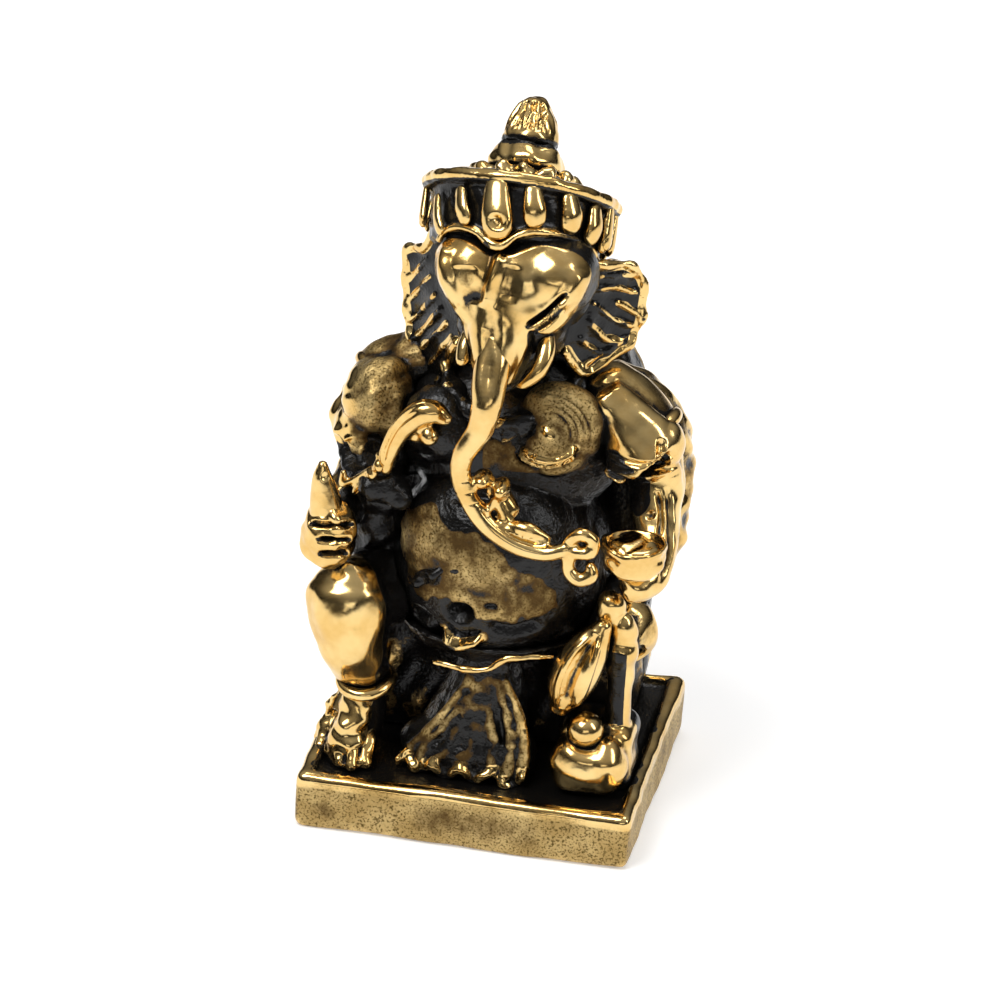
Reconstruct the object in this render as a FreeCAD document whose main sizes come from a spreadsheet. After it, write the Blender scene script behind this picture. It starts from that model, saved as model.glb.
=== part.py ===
import FreeCAD, Part
import math
import os

import Sketcher
from FreeCAD import Placement, Rotation, Vector

# A seated elephant-headed deity, parted into the pieces of a section-cast brass figure.
# Millimetres, +Z up, the figure faces -Y, and the origin is the centre of the plinth's underside.

doc = FreeCAD.newDocument("statuette")
sheet = doc.addObject("Spreadsheet::Sheet", "Sizes")

SIZES = [
    # joints between pieces
    ("joint_gap", 0.05, "clearance round every peg, tenon and spigot"),
    ("peg_radius", 0.5, "pegs that hold limbs, head and ears"),
    ("peg_depth", 0.9, "how far a peg enters its socket"),
    ("ear_peg_radius", 0.28, ""),
    ("hand_peg_radius", 0.4, ""),
    ("tusk_peg_radius", 0.25, ""),
    ("bowl_peg_radius", 0.3, ""),
    # base
    ("plinth_width", 14.0, ""),
    ("plinth_depth", 13.0, ""),
    ("plinth_height", 2.45, ""),
    ("plinth_recess", 0.3, "sunk top inside the rim"),
    ("plinth_rim", 0.55, ""),
    ("plinth_corner", 1.0, "upright corner radius"),
    ("plinth_edge", 0.3, "rounding of the top edge"),
    ("seat_width", 10.6, ""),
    ("seat_depth", 4.4, "from the throne back to the seat's front"),
    ("seat_height", 5.85, "above the sunk top"),
    ("tenon_depth", 1.1, "seat and throne back into the plinth"),
    ("tenon_width", 5.0, ""),
    ("tenon_thickness", 1.2, ""),
    ("back_thickness", 2.1, "throne back, front to rear"),
    ("back_width", 10.6, "at the plinth"),
    ("back_flare", 0.8, "how much wider each side is at the arms"),
    ("back_shoulder", 9.6, "height of the widest place above the sunk top"),
    ("back_height", 18.0, "above the sunk top"),
    ("back_top_width", 7.4, "where the rounded top begins"),
    # body
    ("belly_half_width", 4.6, ""),
    ("belly_half_depth", 4.4, ""),
    ("belly_half_height", 4.5, ""),
    ("belly_sink", 2.0, "how far the belly hangs below the seat's top"),
    ("chest_half_width", 4.8, ""),
    ("chest_half_depth", 3.4, ""),
    ("chest_half_height", 3.7, ""),
    ("chest_rise", 0.8, "chest centre above the top of the belly"),
    ("breast_radius", 1.5, ""),
    ("neck_radius", 1.4, ""),
    ("neck_height", 2.6, "from the top of the chest into the head"),
    ("belt_height", 0.9, ""),
    ("belt_thickness", 0.3, ""),
    ("skirt_width", 5.4, "hem on the plinth"),
    ("skirt_top_width", 3.4, ""),
    ("skirt_reach", 5.1, "hem forward of the middle"),
    ("skirt_height", 5.2, ""),
    # head and crown
    ("head_half_width", 3.1, ""),
    ("head_half_depth", 3.2, ""),
    ("head_half_height", 2.5, ""),
    ("head_rise", 3.75, "head centre above the top of the chest"),
    ("brow_radius", 1.75, "forehead domes"),
    ("trunk_root", 1.35, "trunk radius at the face"),
    ("trunk_tip", 0.34, "trunk radius at the curl"),
    ("trunk_clear", 1.2, "trunk's middle in front of the belly"),
    ("tusk_radius", 0.36, ""),
    ("ear_width", 3.4, ""),
    ("ear_height", 6.0, ""),
    ("ear_thickness", 0.7, ""),
    ("ear_sweep", 42.0, "degrees, ears swept back"),
    ("crown_lean", 35.0, "degrees, crown tipped back"),
    ("crown_low_radius", 3.3, ""),
    ("crown_top_radius", 3.95, ""),
    ("crown_height", 2.8, ""),
    ("crown_seat", 0.8, "crown's foot above the head's middle"),
    ("jewel_count", 9.0, ""),
    ("jewel_width", 0.8, ""),
    ("jewel_height", 1.8, ""),
    ("ring_radius", 2.0, "beaded ring on the crown"),
    ("ring_height", 0.7, ""),
    ("collar_radius", 1.45, ""),
    ("collar_height", 1.15, ""),
    ("finial_radius", 1.05, ""),
    ("finial_height", 2.05, ""),
    ("spigot_radius", 0.45, "finial's spigot through collar and ring"),
    ("spigot_depth", 0.7, "how far the spigot enters the crown"),
    # limbs
    ("arm_radius", 1.35, ""),
    ("wrist_radius", 0.8, ""),
    ("fist_radius", 1.15, ""),
    ("leg_radius", 1.75, ""),
    ("ankle_radius", 0.85, ""),
    ("armlet_bulge", 0.3, "armlet outside the arm"),
    ("anklet_bulge", 0.3, "anklet outside the ankle"),
    ("foot_length", 3.0, ""),
    ("foot_width", 1.9, ""),
    ("foot_height", 1.5, ""),
    ("foot_inset", 0.65, "outer edge of a foot inside the plinth's edge"),
    # held things and companions
    ("bowl_radius", 1.3, ""),
    ("bowl_height", 1.35, ""),
    ("bowl_wall", 0.25, ""),
    ("sweet_radius", 0.42, "sweets heaped in the bowl"),
    ("held_tusk_length", 2.9, ""),
    ("goad_radius", 0.42, ""),
    ("noose_cord", 0.28, "cord radius of the noose"),
    ("mouse_head_radius", 1.05, ""),
    ("mouse_body_width", 3.1, ""),
    ("mouse_body_depth", 2.8, ""),
    ("mouse_body_height", 2.7, ""),
    ("mouse_sweet_radius", 0.78, ""),
    ("bead_radius", 0.36, "sacred thread"),
    ("necklace_cord", 0.45, ""),
]


def fill_sheet():
    for row, (alias, value, note) in enumerate(SIZES, 1):
        sheet.set(f"A{row}", alias)
        sheet.set(f"B{row}", str(value))
        sheet.set(f"C{row}", note)
        sheet.setAlias(f"B{row}", alias)
    doc.recompute()


def size(alias):
    return float(sheet.get(alias))


def bind(thing, **bound):
    """Tie properties of an object to sizes: bind(box, Length="Sizes.seat_width")."""
    for prop, expression in bound.items():
        thing.setExpression(prop.replace("__", "."), expression)


# ---------------------------------------------------------------- stations

def station(name, across, forward, up):
    """A named datum point; its coordinates are expressions on the sizes."""
    point = doc.addObject("Part::Vertex", name)
    bind(point, X=across, Y=forward, Z=up)
    doc.recompute()


def at(name, across=0.0, forward=0.0, up=0.0):
    """A station's position, shifted."""
    point = doc.getObject(name)
    return Vector(point.X.Value + across, point.Y.Value + forward, point.Z.Value + up)


def place(thing, name, across="0", forward="0", up="0"):
    """Bind an object's position to a station, shifted by expressions."""
    bind(
        thing,
        Placement__Base__x=f"{name}.X + ({across}) * 1mm",
        Placement__Base__y=f"{name}.Y + ({forward}) * 1mm",
        Placement__Base__z=f"{name}.Z + ({up}) * 1mm",
    )


def make_stations():
    station("sunk_top", "0", "0", "Sizes.plinth_height - Sizes.plinth_recess")
    station("back_face", "0", "Sizes.plinth_depth / 2 - Sizes.plinth_rim - Sizes.back_thickness",
            "sunk_top.Z / 1mm")
    station("seat_front", "0", "back_face.Y / 1mm - Sizes.seat_depth",
            "sunk_top.Z / 1mm + Sizes.seat_height")
    station("belly", "0", "-0.2", "seat_front.Z / 1mm + Sizes.belly_half_height - Sizes.belly_sink")
    station("chest", "0", "0.7", "belly.Z / 1mm + Sizes.belly_half_height + Sizes.chest_rise")
    station("head_mid", "0.15", "-0.6", "chest.Z / 1mm + Sizes.chest_half_height + Sizes.head_rise")
    station("crown_foot", "0", "head_mid.Y / 1mm + 0.3", "head_mid.Z / 1mm + Sizes.crown_seat")
    for side, sign in (("right", "-"), ("left", "")):
        station(f"{side}_shoulder", f"{sign}(Sizes.chest_half_width - 0.5)", "0.3",
                "chest.Z / 1mm + Sizes.chest_half_height - 1.2")
        station(f"{side}_elbow", f"{sign}(Sizes.chest_half_width + 1.35)", "-0.1", "chest.Z / 1mm - 0.1")
        station(f"{side}_hip", f"{sign}(Sizes.belly_half_width - 1.6)", "1.2", "belly.Z / 1mm - 2.1")
        station(f"{side}_foot", f"{sign}(Sizes.plinth_width / 2 - Sizes.foot_inset - Sizes.foot_width / 2)",
                "-Sizes.plinth_depth / 2 + 3.0", "sunk_top.Z / 1mm")
    station("right_palm", "-(Sizes.belly_half_width + 1.9)", "belly.Y / 1mm - Sizes.belly_half_depth + 0.3",
            "belly.Z / 1mm + 2.0")
    station("left_palm", "Sizes.belly_half_width + 1.5", "belly.Y / 1mm - Sizes.belly_half_depth + 0.3",
            "belly.Z / 1mm + 2.2")


# ---------------------------------------------------------------- plain solids

def ellipsoid(name, where, half_width, half_depth, half_height, across="0", forward="0", up="0"):
    solid = doc.addObject("Part::Ellipsoid", name)
    solid.Angle1 = -90
    solid.Angle2 = 90
    solid.Angle3 = 360
    bind(solid, Radius2=half_width, Radius3=half_depth, Radius1=half_height)
    place(solid, where, across, forward, up)
    return solid


def ball(name, where, radius, across="0", forward="0", up="0"):
    solid = doc.addObject("Part::Sphere", name)
    bind(solid, Radius=radius)
    place(solid, where, across, forward, up)
    return solid


def fused(name, solids):
    whole = doc.addObject("Part::MultiFuse", name)
    whole.Shapes = solids
    whole.Refine = True
    return whole


def shaped(name, shape):
    """A form with no primitive of its own, made from the sizes in code."""
    solid = doc.addObject("Part::Feature", name)
    solid.Shape = shape
    solid.Placement = Placement()
    return solid


def limb(points, radii):
    """A solid of round sections along a smooth line through points, with domed ends."""
    curve = Part.BSplineCurve()
    curve.interpolate(points)
    stops = [curve.parameter(point) for point in points]
    rings = []
    for start, end, thick, thin in zip(stops, stops[1:], radii, radii[1:]):
        for share in (0, 1 / 3, 2 / 3):
            where = start + (end - start) * share
            rings.append((curve.value(where), curve.tangent(where)[0], thick + (thin - thick) * share))
    rings.append((points[-1], curve.tangent(stops[-1])[0], radii[-1]))
    dome = [math.radians(angle) for angle in (75, 50, 25)]
    first = [(p - t * r * math.sin(a), t, r * math.cos(a)) for p, t, r in rings[:1] for a in dome]
    last = [(p + t * r * math.sin(a), t, r * math.cos(a)) for p, t, r in rings[-1:] for a in dome[::-1]]
    wires = []
    side = Vector(1, 0, 0)
    for point, tangent, radius in first + rings + last:
        side = side - tangent * side.dot(tangent)
        if side.Length < 0.001:
            side = Vector(0, 1, 0) - tangent * tangent.y
        side.normalize()
        circle = Part.makeCircle(radius)
        circle.Placement = Placement(point, Rotation(side, tangent.cross(side), tangent, "ZXY"))
        wires.append(Part.Wire([circle]))
    return Part.makeLoft(wires, True, False)


# ---------------------------------------------------------------- sketched bodies

def origin_plane(body, role):
    return next(item for item in body.Origin.OriginFeatures if item.Role == role)


def sketch_on(body, name, role, up=None):
    sketch = body.newObject("Sketcher::SketchObject", name)
    sketch.AttachmentSupport = (origin_plane(body, role), [""])
    sketch.MapMode = "FlatFace"
    if up:
        bind(sketch, AttachmentOffset__Base__z=up)
    return sketch


def outline(sketch, corners):
    """Straight lines through corners, each a pair of expressions on the sizes."""
    count = len(corners)
    start = [Vector(math.cos(math.tau * i / count), math.sin(math.tau * i / count), 0) for i in range(count)]
    for i in range(count):
        sketch.addGeometry(Part.LineSegment(start[i], start[(i + 1) % count]), False)
    for i, (across, up) in enumerate(corners):
        sketch.addConstraint(Sketcher.Constraint("Coincident", i - 1 if i else count - 1, 2, i, 1))
        for kind, axis, value in (("DistanceX", -2, across), ("DistanceY", -1, up)):
            if value == "0":
                sketch.addConstraint(Sketcher.Constraint("PointOnObject", i, 1, axis))
                continue
            where = start[i].x if kind == "DistanceX" else start[i].y
            number = sketch.addConstraint(Sketcher.Constraint(kind, -1, 1, i, 1, where))
            sketch.setExpression(f"Constraints[{number}]", value)


def rectangle(sketch, width, depth, middle="0"):
    """A rectangle centred across the sketch's upright axis."""
    low = f"({middle}) - ({depth}) / 2"
    high = f"({middle}) + ({depth}) / 2"
    outline(sketch, [(f"-({width}) / 2", low), (f"({width}) / 2", low),
                     (f"({width}) / 2", high), (f"-({width}) / 2", high)])


def pad(body, name, sketch, length, reverse=False):
    feature = body.newObject("PartDesign::Pad", name)
    feature.Profile = sketch
    feature.Reversed = reverse
    bind(feature, Length=length)
    return feature


def pocket(body, name, sketch, length):
    feature = body.newObject("PartDesign::Pocket", name)
    feature.Profile = sketch
    bind(feature, Length=length)
    return feature


def upright_edges(shape):
    return [f"Edge{i}" for i, edge in enumerate(shape.Edges, 1)
            if abs(edge.Vertexes[0].Point.sub(edge.Vertexes[-1].Point).normalize().z) > 0.99]


def turned(name, corners):
    """A body of revolution about its own upright axis, from (radius, height) expressions."""
    body = doc.addObject("PartDesign::Body", name)
    sketch = sketch_on(body, f"{name}_outline", "XZ_Plane")
    outline(sketch, corners)
    turn = body.newObject("PartDesign::Revolution", f"{name}_turn")
    turn.Profile = sketch
    turn.ReferenceAxis = (sketch, ["V_Axis"])
    turn.Angle = 360
    return body


# ---------------------------------------------------------------- assembling

CORES = {}


def core(name, blank, cut_by=()):
    """The piece's own volume: its blank, less the pieces that it sits against."""
    for number, other in enumerate(cut_by):
        cut = doc.addObject("Part::Cut", f"{name}_core_{number}")
        cut.Base = blank
        cut.Tool = CORES[other]
        blank = cut
    CORES[name] = blank


PEGS = []


def pin(child, parent, start, end, radius="Sizes.peg_radius"):
    """A peg on the child, from start inside it to end inside the parent, and the parent's socket."""
    PEGS.append((child, parent, start, end, radius))


def rod(name, start, end, radius):
    along = end - start
    cylinder = doc.addObject("Part::Cylinder", name)
    cylinder.Placement = Placement(start, Rotation(Vector(0, 0, 1), along))
    cylinder.Height = along.Length
    bind(cylinder, Radius=radius)
    return cylinder


def finish_pieces():
    """Add each piece's pegs, cut its sockets and label the result with its name."""
    finished = {}
    for name, solid in CORES.items():
        pegs = []
        sockets = []
        for number, (child, parent, start, end, radius) in enumerate(PEGS):
            if child == name:
                pegs.append(rod(f"peg_{number}", start, end, radius))
            if parent == name:
                stretch = (end - start).normalize() * size("joint_gap")
                wide = f"{radius} + Sizes.joint_gap"
                sockets.append(rod(f"socket_{number}", start, end + stretch, wide))
        if pegs:
            solid = fused(f"{name}_pegged", [solid] + pegs)
        if sockets:
            cut = doc.addObject("Part::Cut", f"{name}_socketed")
            cut.Base = solid
            cut.Tool = sockets[0] if len(sockets) == 1 else fused(f"{name}_sockets", sockets)
            solid = cut
        solid.Label = name
        finished[name] = solid
    return finished


# ---------------------------------------------------------------- base and seat

def plinth():
    body = doc.addObject("PartDesign::Body", "plinth_body")
    slab = sketch_on(body, "plinth_outline", "XY_Plane")
    rectangle(slab, "Sizes.plinth_width", "Sizes.plinth_depth")
    block = pad(body, "plinth_slab", slab, "Sizes.plinth_height")
    doc.recompute()
    corners = body.newObject("PartDesign::Fillet", "plinth_corners")
    corners.Base = (block, upright_edges(block.Shape))
    bind(corners, Radius="Sizes.plinth_corner")
    doc.recompute()
    rim = body.newObject("PartDesign::Fillet", "plinth_top_edge")
    top = size("plinth_height")
    rim.Base = (corners, [f"Edge{i}" for i, edge in enumerate(corners.Shape.Edges, 1)
                          if edge.BoundBox.ZMin > top - 0.001])
    bind(rim, Radius="Sizes.plinth_edge")
    sunk = sketch_on(body, "plinth_sunk_outline", "XY_Plane", "Sizes.plinth_height")
    rectangle(sunk, "Sizes.plinth_width - 2 * Sizes.plinth_rim", "Sizes.plinth_depth - 2 * Sizes.plinth_rim")
    pocket(body, "plinth_sunk_top", sunk, "Sizes.plinth_recess")
    for part, middle in TENONS.items():
        slot = sketch_on(body, f"{part}_slot_outline", "XY_Plane", "sunk_top.Z")
        rectangle(slot, "Sizes.tenon_width + 2 * Sizes.joint_gap",
                  "Sizes.tenon_thickness + 2 * Sizes.joint_gap", middle)
        pocket(body, f"{part}_slot", slot, "Sizes.tenon_depth + Sizes.joint_gap")
    core("plinth", body)


SEAT_MIDDLE = "(back_face.Y + seat_front.Y) / 2 / 1mm"
BACK_MIDDLE = "back_face.Y / 1mm + Sizes.back_thickness / 2"
TENONS = {"seat": SEAT_MIDDLE, "throne_back": BACK_MIDDLE}


def add_tenon(body, part):
    tongue = sketch_on(body, f"{part}_tenon_outline", "XY_Plane")
    rectangle(tongue, "Sizes.tenon_width", "Sizes.tenon_thickness", TENONS[part])
    pad(body, f"{part}_tenon", tongue, "Sizes.tenon_depth", reverse=True)


def seat():
    body = doc.addObject("PartDesign::Body", "seat_body")
    place(body, "sunk_top")
    block = sketch_on(body, "seat_outline", "XY_Plane")
    rectangle(block, "Sizes.seat_width", "Sizes.seat_depth", SEAT_MIDDLE)
    pad(body, "seat_block", block, "Sizes.seat_height")
    add_tenon(body, "seat")
    core("seat", body)


def throne_back():
    body = doc.addObject("PartDesign::Body", "throne_back_body")
    place(body, "sunk_top")
    slab = sketch_on(body, "throne_back_outline", "XZ_Plane", "-back_face.Y - Sizes.back_thickness * 1mm")
    low = "Sizes.back_width / 2"
    wide = "Sizes.back_width / 2 + Sizes.back_flare"
    top = "Sizes.back_top_width / 2"
    sides = [(low, "0"), (wide, "Sizes.back_shoulder"), (wide, "Sizes.back_shoulder + 2"),
             (top, "Sizes.back_height - 1.6"), (f"{top} - 1.6", "Sizes.back_height")]
    outline(slab, sides + [(f"-({across})", up) for across, up in sides[::-1]])
    pad(body, "throne_back_slab", slab, "Sizes.back_thickness")
    add_tenon(body, "throne_back")
    core("throne_back", body)


# ---------------------------------------------------------------- body

def torso():
    belly = ellipsoid("belly_form", "belly", "Sizes.belly_half_width", "Sizes.belly_half_depth",
                      "Sizes.belly_half_height")
    chest = ellipsoid("chest_form", "chest", "Sizes.chest_half_width", "Sizes.chest_half_depth",
                      "Sizes.chest_half_height")
    breasts = [ball(f"{side}_breast", "chest", "Sizes.breast_radius", across, "-2.3", "1")
               for side, across in (("right", "-2.2"), ("left", "2.2"))]
    neck = doc.addObject("Part::Cylinder", "neck")
    bind(neck, Radius="Sizes.neck_radius", Height="Sizes.neck_height + 1")
    place(neck, "chest", "0.1", "-0.6", "Sizes.chest_half_height - 1")
    core("torso", fused("torso_form", [belly, chest, neck] + breasts), ["seat", "throne_back"])


def belt():
    shell = ellipsoid("belt_shell", "belly", "Sizes.belly_half_width + Sizes.belt_thickness",
                      "Sizes.belly_half_depth + Sizes.belt_thickness",
                      "Sizes.belly_half_height + Sizes.belt_thickness")
    slice_box = doc.addObject("Part::Box", "belt_slice")
    bind(slice_box, Length="4 * Sizes.belly_half_width", Width="2 * Sizes.belly_half_depth",
         Height="Sizes.belt_height")
    place(slice_box, "belly", "-2 * Sizes.belly_half_width", "-2.2 * Sizes.belly_half_depth",
          "-Sizes.belly_half_height * 0.72")
    band = doc.addObject("Part::Common", "belt_band")
    band.Base = shell
    band.Tool = slice_box
    core("belt", band, ["torso", "seat"])


def skirt():
    cloth = doc.addObject("Part::Wedge", "skirt_form")
    cloth.Placement.Rotation = Rotation(Vector(1, 0, 0), 90)
    place(cloth, "sunk_top", "0", "seat_front.Y / 1mm")
    bind(cloth, Xmin="-Sizes.skirt_width / 2", Xmax="Sizes.skirt_width / 2",
         X2min="-Sizes.skirt_top_width / 2", X2max="Sizes.skirt_top_width / 2",
         Ymin="0", Ymax="Sizes.skirt_height", Zmin="0", Zmax="Sizes.skirt_reach + seat_front.Y / 1mm",
         Z2min="0", Z2max="Sizes.skirt_reach + seat_front.Y / 1mm - 1.4")
    core("skirt", cloth, ["torso", "belt"])


# ---------------------------------------------------------------- head and face

def head():
    skull = ellipsoid("skull", "head_mid", "Sizes.head_half_width", "Sizes.head_half_depth",
                      "Sizes.head_half_height")
    cheeks = ellipsoid("cheeks", "head_mid", "Sizes.head_half_width - 0.8", "Sizes.head_half_depth - 1.2",
                       "Sizes.head_half_height - 0.2", "0", "-1.5", "-1.4")
    domes = [ball(f"{side}_dome", "head_mid", "Sizes.brow_radius", across, "-1.5", "0.95")
             for side, across in (("right", "-1.55"), ("left", "1.7"))]
    core("head", fused("head_form", [skull, cheeks] + domes), ["torso"])


def trunk():
    front = at("belly").y - size("belly_half_depth") - size("trunk_clear")
    face = at("head_mid")
    palm = at("left_palm")
    points = [
        face + Vector(0.05, -1.2, -0.6),
        face + Vector(0, -3.1, -1.0),
        face + Vector(-0.1, -4.1, -2.6),
        Vector(0.05, front + 0.7, face.z - 4.3),
        Vector(-0.5, front + 0.2, face.z - 5.7),
        Vector(-0.8, front, face.z - 6.6),
        Vector(-0.3, front, face.z - 7.6),
        Vector(palm.x - 5.5, front, palm.z + 2.1),
        Vector(palm.x - 4.3, front, palm.z + 1.4),
        Vector(palm.x - 3.2, front, palm.z + 0.95),
        Vector(palm.x - 2.1, front, palm.z + 0.8),
    ]
    root = size("trunk_root")
    tip = size("trunk_tip")
    thinning = [1, 0.85, 0.62, 0.48, 0.36, 0.26, 0.16, 0.1, 0.05, 0, 0]
    radii = [tip + (root - tip) * share for share in thinning]
    core("trunk", shaped("trunk_form", limb(points, radii)), ["head", "torso"])
    pin("trunk", "head", face + Vector(0, -4.0, -1.8), face + Vector(0, -1.4, -0.8))


def tusks():
    face = at("head_mid")
    thick = size("tusk_radius")
    left = [face + Vector(1.45, -2.0, -1.0), face + Vector(1.7, -2.9, -1.75),
            face + Vector(1.35, -3.5, -2.6), face + Vector(0.95, -3.8, -3.1)]
    core("left_tusk", shaped("left_tusk_form", limb(left, [thick, thick, thick * 0.75, thick * 0.4])),
         ["head", "trunk"])
    stub = [face + Vector(-1.1, -1.9, -1.0), face + Vector(-1.5, -2.8, -1.7),
            face + Vector(-1.6, -3.3, -2.1)]
    core("right_tusk_stub", shaped("right_tusk_form", limb(stub, [thick, thick, thick * 0.8])),
         ["head", "trunk"])


def ears():
    """Leaf-shaped plates; each outline is in widths out from the head and heights about its middle."""
    leaves = {
        "right": (-1, [(0.05, 0.2), (0.5, 0.22), (0.9, 0.03), (1.0, -0.27), (0.87, -0.57), (0.5, -0.84),
                       (0.2, -0.78), (0, -0.4)]),
        "left": (1, [(0.05, 0.25), (0.5, 0.25), (0.93, 0.12), (1.05, -0.15), (0.9, -0.43), (0.5, -0.62),
                     (0.15, -0.58), (0, -0.35)]),
    }
    wide = size("ear_width")
    tall = size("ear_height")
    thick = size("ear_thickness")
    for side, (sign, leaf) in leaves.items():
        rim = Part.BSplineCurve()
        rim.interpolate([Vector(sign * out * wide, 0, up * tall) for out, up in leaf], PeriodicFlag=True)
        plate = Part.Face(Part.Wire([rim.toShape()])).extrude(Vector(0, thick, 0))
        form = shaped(f"{side}_ear_form", plate)
        root = at("head_mid", sign * (size("head_half_width") - 0.9), -0.7)
        form.Placement = Placement(root, Rotation(Vector(0, 0, 1), sign * size("ear_sweep")))
        core(f"{side}_ear", form, ["head", "torso", "crown_band", "crown_jewels", "throne_back", "necklace"])
        swept = form.Placement.Rotation.multVec(Vector(sign, 0, 0))
        middle = root + Vector(0, thick / 2, -1.0)
        pin(f"{side}_ear", "head", middle + swept * 1.3, middle - swept * 1.0,
            "Sizes.ear_peg_radius")


# ---------------------------------------------------------------- crown

def lean(body):
    """Stand a crown piece on the head, tipped back."""
    body.Placement.Rotation = Rotation(Vector(-1, 0, 0), size("crown_lean"))
    place(body, "crown_foot")


def crown():
    bore = "Sizes.spigot_radius + Sizes.joint_gap"
    band_top = "Sizes.crown_height"
    ring_top = f"{band_top} + Sizes.ring_height"
    collar_top = f"{ring_top} + Sizes.collar_height"
    tip = f"{collar_top} + Sizes.finial_height"
    socket = f"{band_top} - Sizes.spigot_depth - Sizes.joint_gap"
    band = turned("crown_band_body", [
        ("0", "0"), ("Sizes.crown_low_radius", "0"), ("Sizes.crown_low_radius + 0.15", "0.35"),
        ("Sizes.crown_top_radius - 0.1", f"{band_top} - 0.45"),
        ("Sizes.crown_top_radius", f"{band_top} - 0.3"),
        ("Sizes.crown_top_radius - 0.1", band_top), (bore, band_top), (bore, socket), ("0", socket)])
    ring = turned("crown_bead_ring_body", [
        (bore, band_top), ("Sizes.ring_radius - 0.2", band_top), ("Sizes.ring_radius", f"{band_top} + 0.25"),
        ("Sizes.ring_radius - 0.15", f"{ring_top} - 0.1"), ("Sizes.ring_radius - 0.35", ring_top),
        (bore, ring_top)])
    collar = turned("crown_collar_body", [
        (bore, ring_top), ("Sizes.collar_radius", ring_top), ("Sizes.collar_radius", f"{collar_top} - 0.4"),
        ("Sizes.collar_radius - 0.3", collar_top), (bore, collar_top)])
    finial = turned("crown_finial_body", [
        ("0", f"{band_top} - Sizes.spigot_depth"),
        ("Sizes.spigot_radius", f"{band_top} - Sizes.spigot_depth"),
        ("Sizes.spigot_radius", collar_top), ("Sizes.finial_radius - 0.1", collar_top),
        ("Sizes.finial_radius", f"{collar_top} + 0.45"), ("Sizes.finial_radius * 0.62", f"{tip} - 0.6"),
        ("Sizes.finial_radius * 0.25", tip), ("0", tip)])
    for body in (band, ring, collar, finial):
        lean(body)
    core("crown_band", band, ["head", "trunk"])
    core("crown_bead_ring", ring)
    core("crown_collar", collar)
    core("crown_finial", finial)


def crown_jewels():
    """A row of upright drops round the front of the crown."""
    count = int(size("jewel_count"))
    slant = (size("crown_top_radius") - size("crown_low_radius")) / size("crown_height")
    drops = []
    for place_in_row in range(count):
        turn = math.radians(-90 + 200 * ((place_in_row + 0.5) / count - 0.5))
        grown = FreeCAD.Matrix()
        grown.scale(size("jewel_width") / 2, 0.3, size("jewel_height") / 2)
        drop = Part.makeSphere(1).transformGeometry(grown)
        middle = size("crown_height") * 0.5
        out = size("crown_low_radius") + slant * middle + 0.05
        drop.Placement = Placement(Vector(out * math.cos(turn), out * math.sin(turn), middle),
                                   Rotation(Vector(0, 0, 1), math.degrees(turn) + 90))
        drops.append(drop)
    row = shaped("crown_jewels_form", Part.makeCompound(drops))
    lean(row)
    core("crown_jewels", row, ["crown_band"])


def necklace():
    chain = doc.addObject("Part::Torus", "necklace_form")
    chain.Placement.Rotation = Rotation(Vector(1, 0, 0), 30)
    bind(chain, Radius1="Sizes.neck_radius + 1.3", Radius2="Sizes.necklace_cord")
    place(chain, "chest", "0.1", "-1", "Sizes.chest_half_height - 0.5")
    core("necklace", chain, ["torso", "head", "throne_back"])


# ---------------------------------------------------------------- arms and what they hold

def arms():
    upper = size("arm_radius")
    wrist = size("wrist_radius")
    palm = at("right_palm")
    elbow = at("right_elbow")
    shoulder = at("right_shoulder")
    rear = [shoulder + Vector(0.3, 0.9, -0.1), shoulder + Vector(-1.2, 0.7, -1.1), elbow,
            elbow + Vector(0.5, -1.5, -1.1), elbow + Vector(1.6, -2.7, -1.3)]
    core("right_rear_arm", shaped("right_rear_form", limb(rear, [upper, upper, 1.15, wrist + 0.1, wrist])),
         ["torso", "throne_back", "head", "necklace", "right_ear"])
    pin("right_rear_arm", "torso", shoulder + Vector(-0.9, 0.8, -0.9), shoulder + Vector(1.6, 0.3, -2.0))
    front = [shoulder + Vector(0.6, -0.2, -2.6), elbow + Vector(0.4, -0.4, -2.0),
             Vector(palm.x, -2.0, palm.z + 0.3), palm + Vector(0, 1.0, -0.1)]
    core("right_front_arm", shaped("right_front_form", limb(front, [1.1, 1.1, wrist + 0.15, wrist])),
         ["torso", "throne_back", "right_rear_arm"])
    pin("right_front_arm", "torso", elbow + Vector(0.6, -0.4, -1.9), elbow + Vector(3.1, 0.3, -1.4))

    palm = at("left_palm")
    elbow = at("left_elbow")
    shoulder = at("left_shoulder")
    front = [shoulder + Vector(-0.3, 0, 0), shoulder + Vector(1.1, 0, -1.1), elbow,
             elbow + Vector(0.4, -1.6, -2.1), Vector(palm.x + 0.6, palm.y + 1.4, palm.z - 0.4),
             palm + Vector(0.2, 0.6, -0.9)]
    core("left_front_arm", shaped("left_front_form", limb(front, [upper, upper, 1.15, 0.95, wrist, wrist])),
         ["torso", "throne_back", "head", "necklace", "left_ear"])
    pin("left_front_arm", "torso", shoulder + Vector(0.9, 0, -1.0), shoulder + Vector(-1.6, 0.3, -2.0))
    rear = [shoulder + Vector(-0.3, 1.6, -0.6), elbow + Vector(-0.1, 2.2, 0.2),
            elbow + Vector(0.3, 1.9, -2.4), elbow + Vector(0.3, 0.9, -4.4), elbow + Vector(-0.4, -0.3, -5.8)]
    core("left_rear_arm", shaped("left_rear_form", limb(rear, [1.2, 1.15, 0.95, wrist, wrist - 0.1])),
         ["torso", "throne_back", "seat", "head", "left_ear", "left_front_arm"])
    pin("left_rear_arm", "torso", elbow + Vector(-0.3, 2.0, 0.3), elbow + Vector(-3.0, 1.2, 0.3))


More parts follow.
